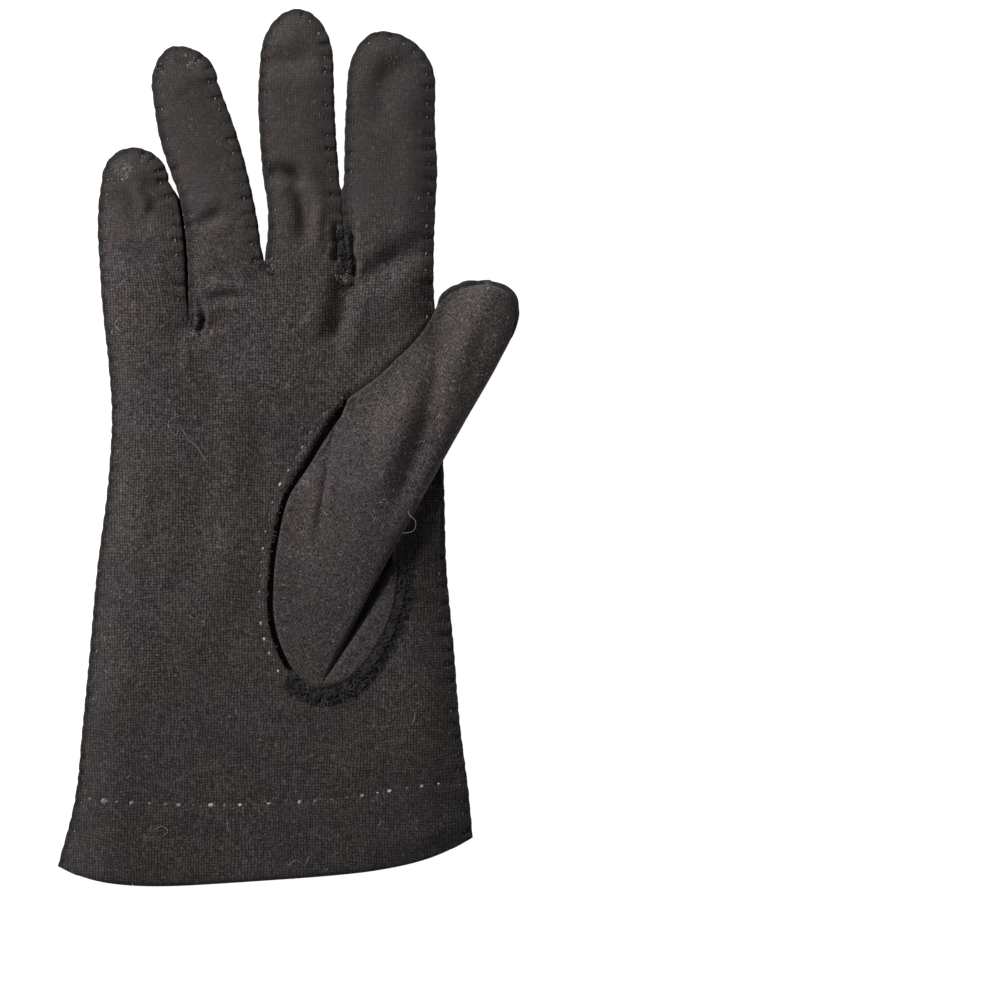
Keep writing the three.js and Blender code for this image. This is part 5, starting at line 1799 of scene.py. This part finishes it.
def lint_tree():
    """Loose fibres scattered over cloth: small bent hairs lying on its face."""
    tree, given = node_group("lint", (
        ("Density", "Float", 20000.0), ("Length", "Float", 0.0018), ("Thickness", "Float", 0.00004),
        ("Seed", "Int", 7), ("Material", "Material", None),
    ))
    spread = add(tree, "GeometryNodeDistributePointsOnFaces", {
        "Mesh": given["Geometry"], "Density": given["Density"], "Seed": given["Seed"],
    })
    hair = add(tree, "GeometryNodeCurveQuadraticBezier", {
        "Resolution": 5, "Start": (-0.5, 0, 0.02), "Middle": (0.1, 0.3, 0.16), "End": (0.5, -0.06, 0.03),
    })
    thick = calculated(tree, "DIVIDE", given["Thickness"], given["Length"])
    round_ = add(tree, "GeometryNodeCurvePrimitiveCircle", {"Resolution": 3, "Radius": thick})
    tube = add(tree, "GeometryNodeCurveToMesh", {
        "Curve": hair.outputs[0], "Profile Curve": round_.outputs[0], "Fill Caps": True,
    })
    size = add(tree, "FunctionNodeRandomValue", {
        0: (0.35, 0.5, 0.7), 1: (1.5, 1.9, 1.3), "Seed": given["Seed"],
    }, data_type="FLOAT_VECTOR")
    scale = scaled(tree, size.outputs[0], given["Length"])
    spin = add(tree, "FunctionNodeRandomValue", {
        0: (0, 0, 0), 1: (0.3, 0.3, 2 * math.pi), "Seed": given["Seed"],
    }, data_type="FLOAT_VECTOR")
    turned = add(tree, "FunctionNodeRotateRotation", {
        "Rotation": spread.outputs["Rotation"], "Rotate By": spin.outputs[0],
    }, rotation_space="LOCAL")
    return finish_group(tree, given, spread.outputs[0], tube, turned, scale)


def grown(name, guide, tree, values):
    """Runs a tree on a guide mesh and keeps the result as a plain mesh."""
    modifier = guide.modifiers.new(tree.name, "NODES")
    modifier.node_group = tree
    for socket in tree.interface.items_tree:
        if socket.in_out == "INPUT" and socket.name in values:
            modifier[socket.identifier] = values[socket.name]
    bpy.context.view_layer.update()
    evaluated = guide.evaluated_get(bpy.context.evaluated_depsgraph_get())
    mesh = bpy.data.meshes.new_from_object(evaluated)
    guide.modifiers.remove(modifier)
    bpy.data.objects.remove(guide)
    mesh.name = name
    return linked(name, mesh)


def stitch_guide(name, places):
    """A mesh of bare points with the direction of the seam and the face that each stitch shows on."""
    points, along, facing = (np.vstack(column) for column in zip(*places))
    mesh = bare_mesh(name, points)
    for label, values in (("along", along), ("facing", facing)):
        layer = mesh.attributes.new(label, "FLOAT_VECTOR", "POINT")
        layer.data.foreach_set("vector", values.astype(np.float32).ravel())
    return linked(name, mesh)


def stitch_row(flat, way, heights, up):
    """Places of one row of stitches, half sunk into the cloth."""
    count = len(flat)
    points = np.column_stack([flat, heights + up * STITCH_LIFT])
    return points, np.column_stack([way, np.zeros(count)]), np.tile((0.0, 0.0, up), (count, 1))


# Places of the stitches

def side_stitch_places():
    """Along the sewn outline, on the palm and on the back."""
    stitches = seam_stitches()
    flat, along, inward = SEAM.place(stitches)
    flat = flat + inward * SEAM_ALLOWANCE
    distance = SEAM.distance(flat)
    keep = distance > SEAM_ALLOWANCE * STITCH_CLEAR
    flat, along, distance = flat[keep], along[keep], distance[keep]
    (left, right), (low, high) = BARE_SLIT
    bare = (flat[:, 0] > left) & (flat[:, 0] < right) & (flat[:, 1] > low) & (flat[:, 1] < high)
    rows = []
    sides = (("palm", palm_height, 1.0, ~bare), ("back", back_height, -1.0, np.full(len(flat), True)))
    for side, height, up, shows in sides:
        placed = flat + slit_shift(flat, distance, side)
        rows.append(stitch_row(placed[shows], along[shows], height(flat)[shows], up))
    return rows


def hem_stitch_places():
    """Across the palm along the hem."""
    stitches = stitch_runs(HEM_SEAM.run[-1], HEM_SEED)
    flat, along, _ = HEM_SEAM.place(stitches)
    return [stitch_row(flat, along, palm_height(flat), 1.0)]


def lip_stitch_places():
    """Beside the left of the hole, on the palm."""
    stitches = hole_stitches()
    share = hole_share(stitches)
    stitches = stitches[(share > LIP_ROW[0]) & (share < LIP_ROW[1])]
    flat, along, inward = HOLE.place(stitches)
    flat = flat + inward * SEAM_ALLOWANCE
    return [stitch_row(flat, along, palm_height(flat), 1.0)]


# Lint

def palm_face():
    flat, triangles = panel_layout(PALM_SPACING, True)
    return np.column_stack([flat, palm_height(flat) + LINT_LIFT]), triangles


def thumb_face():
    along, across = np.linspace(*THUMB_FACE_ALONG), np.linspace(*THUMB_FACE_ACROSS)
    grid_along, grid_across = np.meshgrid(along, across, indexing="ij")
    points = thumb_points(1, grid_across, grid_along).reshape(-1, 3) + (0, 0, WALL / 2 + LINT_LIFT)
    return points, grid_triangles(len(along), len(across))


def round_patch(points, triangles, x, y, radius):
    """The part of a surface within a radius of a place."""
    centres = points[triangles].mean(axis=1)[:, :2]
    chosen = triangles[np.linalg.norm(centres - (x, y), axis=1) < radius]
    used, chosen = np.unique(chosen, return_inverse=True)
    return points[used], chosen.reshape(-1, 3)


def hole_strip(first, last, near, far, lift):
    """A strip beside the thumb hole's edge, between two distances out from it."""
    shares = np.linspace(first, last, HOLE_STRIP_STEPS)
    rows = [beside_hole(shares, np.full(len(shares), out)) for out in (near, (near + far) / 2, far)]
    flat = np.stack(rows, axis=1).reshape(-1, 2)
    points = np.column_stack([flat, palm_rest(flat) + lift])
    return points, grid_triangles(len(shares), len(rows), turned=True)


def grow_fibres(name, surface, tree, density, kind):
    """Scatters fibres of one kind over a surface."""
    points, triangles = surface
    guide = linked(name + "_patch", bare_mesh(name + "_patch", points, triangles.tolist()))
    values = {**kind, "Density": density, "Seed": settings().lint_seed}
    return dress(grown(name, guide, tree, values), None, "palm_knit")


def grow_spots(name, palm, tree, spots, kind):
    """Scatters fibres over round spots of the palm."""
    for i, (x, y, radius, fibres) in enumerate(zip(*spots.values())):
        density = fibres / (math.pi * (radius * MM) ** 2)
        grow_fibres(f"{name}_{i}", round_patch(*palm, x, y, radius), tree, density, kind)


def hair(stops, lift, thickness):
    """One long loose fibre, lifted this far over the palm."""
    line = Line(stops)
    flat = line.at(np.linspace(0, 1, HAIR_STEPS * len(stops)))
    way = unit(np.gradient(flat, axis=0))
    angle = np.linspace(0, 2 * math.pi, HAIR_SIDES, endpoint=False)
    profile = np.stack([np.cos(angle), np.sin(angle)], axis=1) * thickness / 2
    origins = np.column_stack([flat, palm_rest(flat) + lift])
    body, faces = sweep(origins, np.stack([way[:, 1], -way[:, 0]], axis=1), [profile] * len(flat))
    return body, faces, body[:, :2]


# Operators

def length_setting(name, description, metres):
    return FloatProperty(name=name, description=description, default=metres, unit="LENGTH")


def dye_setting(name, description, colour):
    return FloatVectorProperty(name=name, description=description, default=linear(colour), subtype="COLOR")


def number_setting(name, description, value):
    return FloatProperty(name=name, description=description, default=value)


class GloveSettings(bpy.types.PropertyGroup):
    """What can be set in the panel before a piece is made"""
    stitch_pitch: length_setting("Stitch pitch", "From one prick stitch to the next", 0.0041)
    stitch_length: length_setting("Stitch length", "Length of the thread that shows", 0.0009)
    stitch_width: length_setting("Stitch width", "Thickness of the thread", 0.00048)
    rib_pitch: length_setting("Rib pitch", "From one rib of the knit to the next", 0.0008)
    lint_density: number_setting("Lint density", "Loose fibres on each square metre", 9000.0)
    lint_length: length_setting("Lint length", "Length of a loose fibre", 0.0009)
    lint_thickness: length_setting("Lint thickness", "Radius of a loose fibre", 0.000032)
    yarn_length: length_setting("Yarn end length", "Length of a cut yarn's end", 0.0012)
    yarn_thickness: length_setting("Yarn end thickness", "Radius of a cut yarn's end", 0.00012)
    lint_seed: IntProperty(name="Lint seed", description="Another number scatters the lint anew", default=7)
    palm_colour: dye_setting("Palm", "Dyed knit of the palm", "#2c2826")
    back_colour: dye_setting("Back", "Dyed knit of the back", "#272220")
    fourchette_colour: dye_setting("Fourchettes", "Dyed knit between the fingers", "#241f1e")
    thumb_colour: dye_setting("Thumb", "Dyed knit of the thumb", "#262221")
    # Much darker than the knit: painted shade of the raw edges round the thumb's tip and beside the hole.
    cut_edge_painted_shade_colour: dye_setting("Cut edge", "Knit where it is cut, darkened as painted shade", "#131110")
    yarn_colour: dye_setting("Yarn ends", "Ends of cut yarn", "#242021")
    hem_colour: dye_setting("Hem", "Wrong side of the knit", "#252120")
    # Paler than the black knit: painted highlight for the thread's sheen.
    thread_colour: dye_setting("Thread", "Sewing thread", "#3a3634")
    lint_colour: dye_setting("Lint", "Loose fibres", "#6e665e")
    floor_colour: dye_setting("Surface", "Opal sheet that the glove lies on", "#595959")
    floor_glow: number_setting("Surface glow", "Light that comes through the surface from below", 1.0)
    room_light: number_setting("Room", "Brightness of the white room", 0.52)
    light_power: number_setting("Soft box", "Power of the soft light, in watts", 21.0)


class GLOVE_OT_palm(bpy.types.Operator):
    """Cuts and shapes the palm with its dents, puckers and raw edges"""
    bl_idname = "glove.palm"
    bl_label = "Palm"

    def execute(self, context):
        body = panel("palm", PALM_SPACING, palm_height, 1)
        material = knit_material("double knit, face of the palm", settings().palm_colour)
        piece = paint_seam_shade(make_mesh("palm", joined([body, hole_curl()])))
        dress(piece, material, "palm_knit", "palm_panel")
        return {"FINISHED"}


class GLOVE_OT_back(bpy.types.Operator):
    """Cuts the back and lays it flat on the surface"""
    bl_idname = "glove.back"
    bl_label = "Back"

    def execute(self, context):
        body = panel("back", BACK_SPACING, back_height, -1)
        material = knit_material("double knit, face of the back", settings().back_colour)
        dress(paint_seam_shade(make_mesh("back", body)), material, "back_knit", "back_panel")
        return {"FINISHED"}


class GLOVE_OT_fourchettes(bpy.types.Operator):
    """Folds the three side strips in between the fingers"""
    bl_idname = "glove.fourchettes"
    bl_label = "Fourchettes"

    def execute(self, context):
        material = knit_material("double knit, cut in strips", settings().fourchette_colour)
        for first, second in zip(FINGERS, FINGERS[1:]):
            name = first["name"] + "_" + second["name"]
            piece = make_mesh("strip_" + name, fourchette(first, second))
            dress(piece, material, "fourchette_knit", "fourchette_" + name)
        return {"FINISHED"}


class GLOVE_OT_thumb(bpy.types.Operator):
    """Makes the thumb's tube with its raw edges and sets it in its hole"""
    bl_idname = "glove.thumb"
    bl_label = "Thumb"

    def execute(self, context):
        bodies = [thumb_tube(), hole_allowance()]
        colour = settings().thumb_colour
        material = knit_material("double knit on the bias, brushed", colour, rib=0.5, fuzz=1.45)
        dress(make_mesh("thumb_piece", joined(bodies)), material, "thumb_knit", "thumb")
        # The raw edges get the darkest knit, which paints in the shade they lie in.
        material = knit_material("double knit, cut edge in painted shade", settings().cut_edge_painted_shade_colour, rib=0.0, fuzz=1.5)
        dress(make_mesh("thumb_raw_edges", joined(thumb_edges() + hole_edges())), material, "thumb_knit")
        return {"FINISHED"}


class GLOVE_OT_hems(bpy.types.Operator):
    """Turns in the hem band behind the palm and over the back"""
    bl_idname = "glove.hems"
    bl_label = "Hem bands"

    def execute(self, context):
        flat, triangles = hem_layout()
        material = knit_material("double knit, wrong side", settings().hem_colour)
        top = palm_height(flat) - WALL * HEM_SPACE - LAYER_GAP
        body = cloth_slab(flat, triangles, top, np.full(len(flat), WALL), cloth_grain(flat))
        dress(make_mesh("hem_palm", body), material, "hem_knit", "palm_hem")
        bottom = back_height(flat) + WALL * HEM_SPACE + LAYER_GAP
        body = cloth_slab(flat, triangles, bottom, np.full(len(flat), WALL), cloth_grain(flat), face_up=False)
        dress(make_mesh("hem_back", body), material, "hem_knit", "back_hem")
        return {"FINISHED"}


class GLOVE_OT_stitches(bpy.types.Operator):
    """Sets the hand stitches along every seam"""
    bl_idname = "glove.stitches"
    bl_label = "Stitches"

    def execute(self, context):
        chosen = settings()
        # Black thread, made pale in stretches as painted highlight for its sheen; the second thread is paler
        # still.
        dull = thread_material("cotton thread, mercerised", chosen.thread_colour, 0.5, (0.4, 2.1), 0.5)
        pale = thread_material("cotton thread, faded", chosen.thread_colour, 0.6, (0.7, 5.5), 0.48)
        tree = stitch_tree()
        # Name, places, how much longer and thicker than the settings say, unevenness and thread.
        rows = (
            ("stitches_seams", side_stitch_places(), 1.0, 1.0, 0.3, dull),
            ("stitches_hole", lip_stitch_places(), 1.25, 1.5, 0.3, pale),
            ("stitches_hem", hem_stitch_places(), 1.45, 2.2, 0.7, pale),
        )
        for name, places, longer, thicker, unevenness, material in rows:
            guide = stitch_guide(name + "_guide", places)
            values = {
                "Length": chosen.stitch_length * longer, "Width": chosen.stitch_width * thicker,
                "Unevenness": unevenness, "Seed": STITCH_SIZE_SEED, "Material": material,
            }
            dress(grown(name, guide, tree, values), None, "palm_knit")
        return {"FINISHED"}


class GLOVE_OT_lint(bpy.types.Operator):
    """Scatters the loose fibres that dark knit picks up"""
    bl_idname = "glove.lint"
    bl_label = "Lint"

    def execute(self, context):
        chosen = settings()
        material = thread_material("loose cotton fibre", chosen.lint_colour, 0.8, (0.5, 1.6), 0.4)
        kind = {"Length": chosen.lint_length, "Thickness": chosen.lint_thickness, "Material": material}
        tree, palm = lint_tree(), palm_face()
        grow_fibres("lint_palm", palm, tree, chosen.lint_density, kind)
        grow_fibres("lint_thumb", thumb_face(), tree, chosen.lint_density * THUMB_LINT, kind)
        grow_spots("tuft", palm, tree, TUFTS, kind)
        hairs = [hair(stops, lift, thickness) for thickness, lift, stops in LONG_FIBRES]
        dress(make_mesh("long_fibres", joined(hairs)), material, "palm_knit")
        return {"FINISHED"}


class GLOVE_OT_frays(bpy.types.Operator):
    """Frays the raw edges round the thumb hole and in the pleat by the index finger"""
    bl_idname = "glove.frays"
    bl_label = "Frays"

    def execute(self, context):
        chosen = settings()
        material = thread_material("cut ends of cotton yarn", chosen.yarn_colour, 0.95, (0.3, 1.25), 0.45)
        kind = {"Length": chosen.yarn_length, "Thickness": chosen.yarn_thickness, "Material": material}
        tree, palm = lint_tree(), palm_face()
        for name, first, last, near, far, lift, density in FRAYED_EDGES:
            surface = hole_strip(first / HOLE_ROWS, last / HOLE_ROWS, near, far, lift)
            grow_fibres("frayed_" + name, surface, tree, density, kind)
        grow_spots("frayed_spot", palm, tree, FRAYED_SPOTS, kind)
        return {"FINISHED"}


class GLOVE_OT_stage(bpy.types.Operator):
    """Sets out the floor, the soft light and the camera overhead"""
    bl_idname = "glove.stage"
    bl_label = "Stage"

    def execute(self, context):
        chosen = settings()
        self.set_floor(chosen)
        self.set_light(context, chosen)
        self.set_camera(context)
        context.scene.view_settings.view_transform = "Standard"
        return {"FINISHED"}

    def set_floor(self, chosen):
        """Opal acrylic looks evenly white from edge to edge, and the light from below hides every shadow."""
        material, tree = new_material("opal acrylic, lit from below")
        shader = add(tree, "ShaderNodeBsdfPrincipled", {
            "Base Color": (*chosen.floor_colour, 1), "Roughness": 0.9,
            "Emission Color": (1, 1, 1, 1), "Emission Strength": chosen.floor_glow,
        })
        add(tree, "ShaderNodeOutputMaterial", {"Surface": shader.outputs[0]})
        mesh = bpy.data.meshes.new("floor")
        signs = ((-1, -1), (1, -1), (1, 1), (-1, 1))
        corners = [(x * FLOOR_REACH, y * FLOOR_REACH, FLOOR_LEVEL) for x, y in signs]
        mesh.from_pydata(corners, [], [(0, 1, 2, 3)])
        mesh.materials.append(material)
        linked("floor", mesh)

    def set_light(self, context, chosen):
        """A white room and one soft box over the fingers, on the little finger's side."""
        world = bpy.data.worlds.new("soft white room")
        world.use_nodes = True
        background = world.node_tree.nodes["Background"].inputs
        background["Color"].default_value = (1, 1, 1, 1)
        background["Strength"].default_value = chosen.room_light
        context.scene.world = world
        lamp = bpy.data.lights.new("soft box", "AREA")
        lamp.shape, lamp.size, lamp.energy = "SQUARE", BOX_SIZE, chosen.light_power
        box = linked("soft box", lamp)
        box.location = BOX_PLACE
        box.rotation_euler = (-box.location).to_track_quat("-Z", "Y").to_euler()

    def set_camera(self, context):
        """Straight overhead, as the glove was photographed."""
        camera = linked("camera", bpy.data.cameras.new("camera"))
        distance = CAMERA_PLACE[2] - GLOVE_MIDDLE
        camera.data.sensor_width = SENSOR_WIDTH
        camera.data.lens = SENSOR_WIDTH * distance / FRAME_WIDTH
        camera.data.clip_start, camera.data.clip_end = CLIP_RANGE
        camera.location = CAMERA_PLACE
        context.scene.camera = camera


PIECES = (
    GLOVE_OT_palm,
    GLOVE_OT_back,
    GLOVE_OT_fourchettes,
    GLOVE_OT_thumb,
    GLOVE_OT_hems,
    GLOVE_OT_stitches,
    GLOVE_OT_frays,
    GLOVE_OT_lint,
    GLOVE_OT_stage,
)


class GLOVE_PT_pieces(bpy.types.Panel):
    """Lists the settings and a button for each piece"""
    bl_label = "Evening glove"
    bl_idname = "GLOVE_PT_pieces"
    bl_space_type = "VIEW_3D"
    bl_region_type = "UI"
    bl_category = "Glove"

    def draw(self, context):
        for name in GloveSettings.__annotations__:
            self.layout.prop(context.scene.evening_glove, name)
        for piece in PIECES:
            self.layout.operator(piece.bl_idname)


CLASSES = (GloveSettings, *PIECES, GLOVE_PT_pieces)


def register():
    for each in CLASSES:
        bpy.utils.register_class(each)
    bpy.types.Scene.evening_glove = PointerProperty(type=GloveSettings)


def unregister():
    del bpy.types.Scene.evening_glove
    for each in reversed(CLASSES):
        bpy.utils.unregister_class(each)


def main():
    register()
    for piece in PIECES:
        group, name = piece.bl_idname.split(".")
        getattr(getattr(bpy.ops, group), name)()


if __name__ == "__main__":
    main()
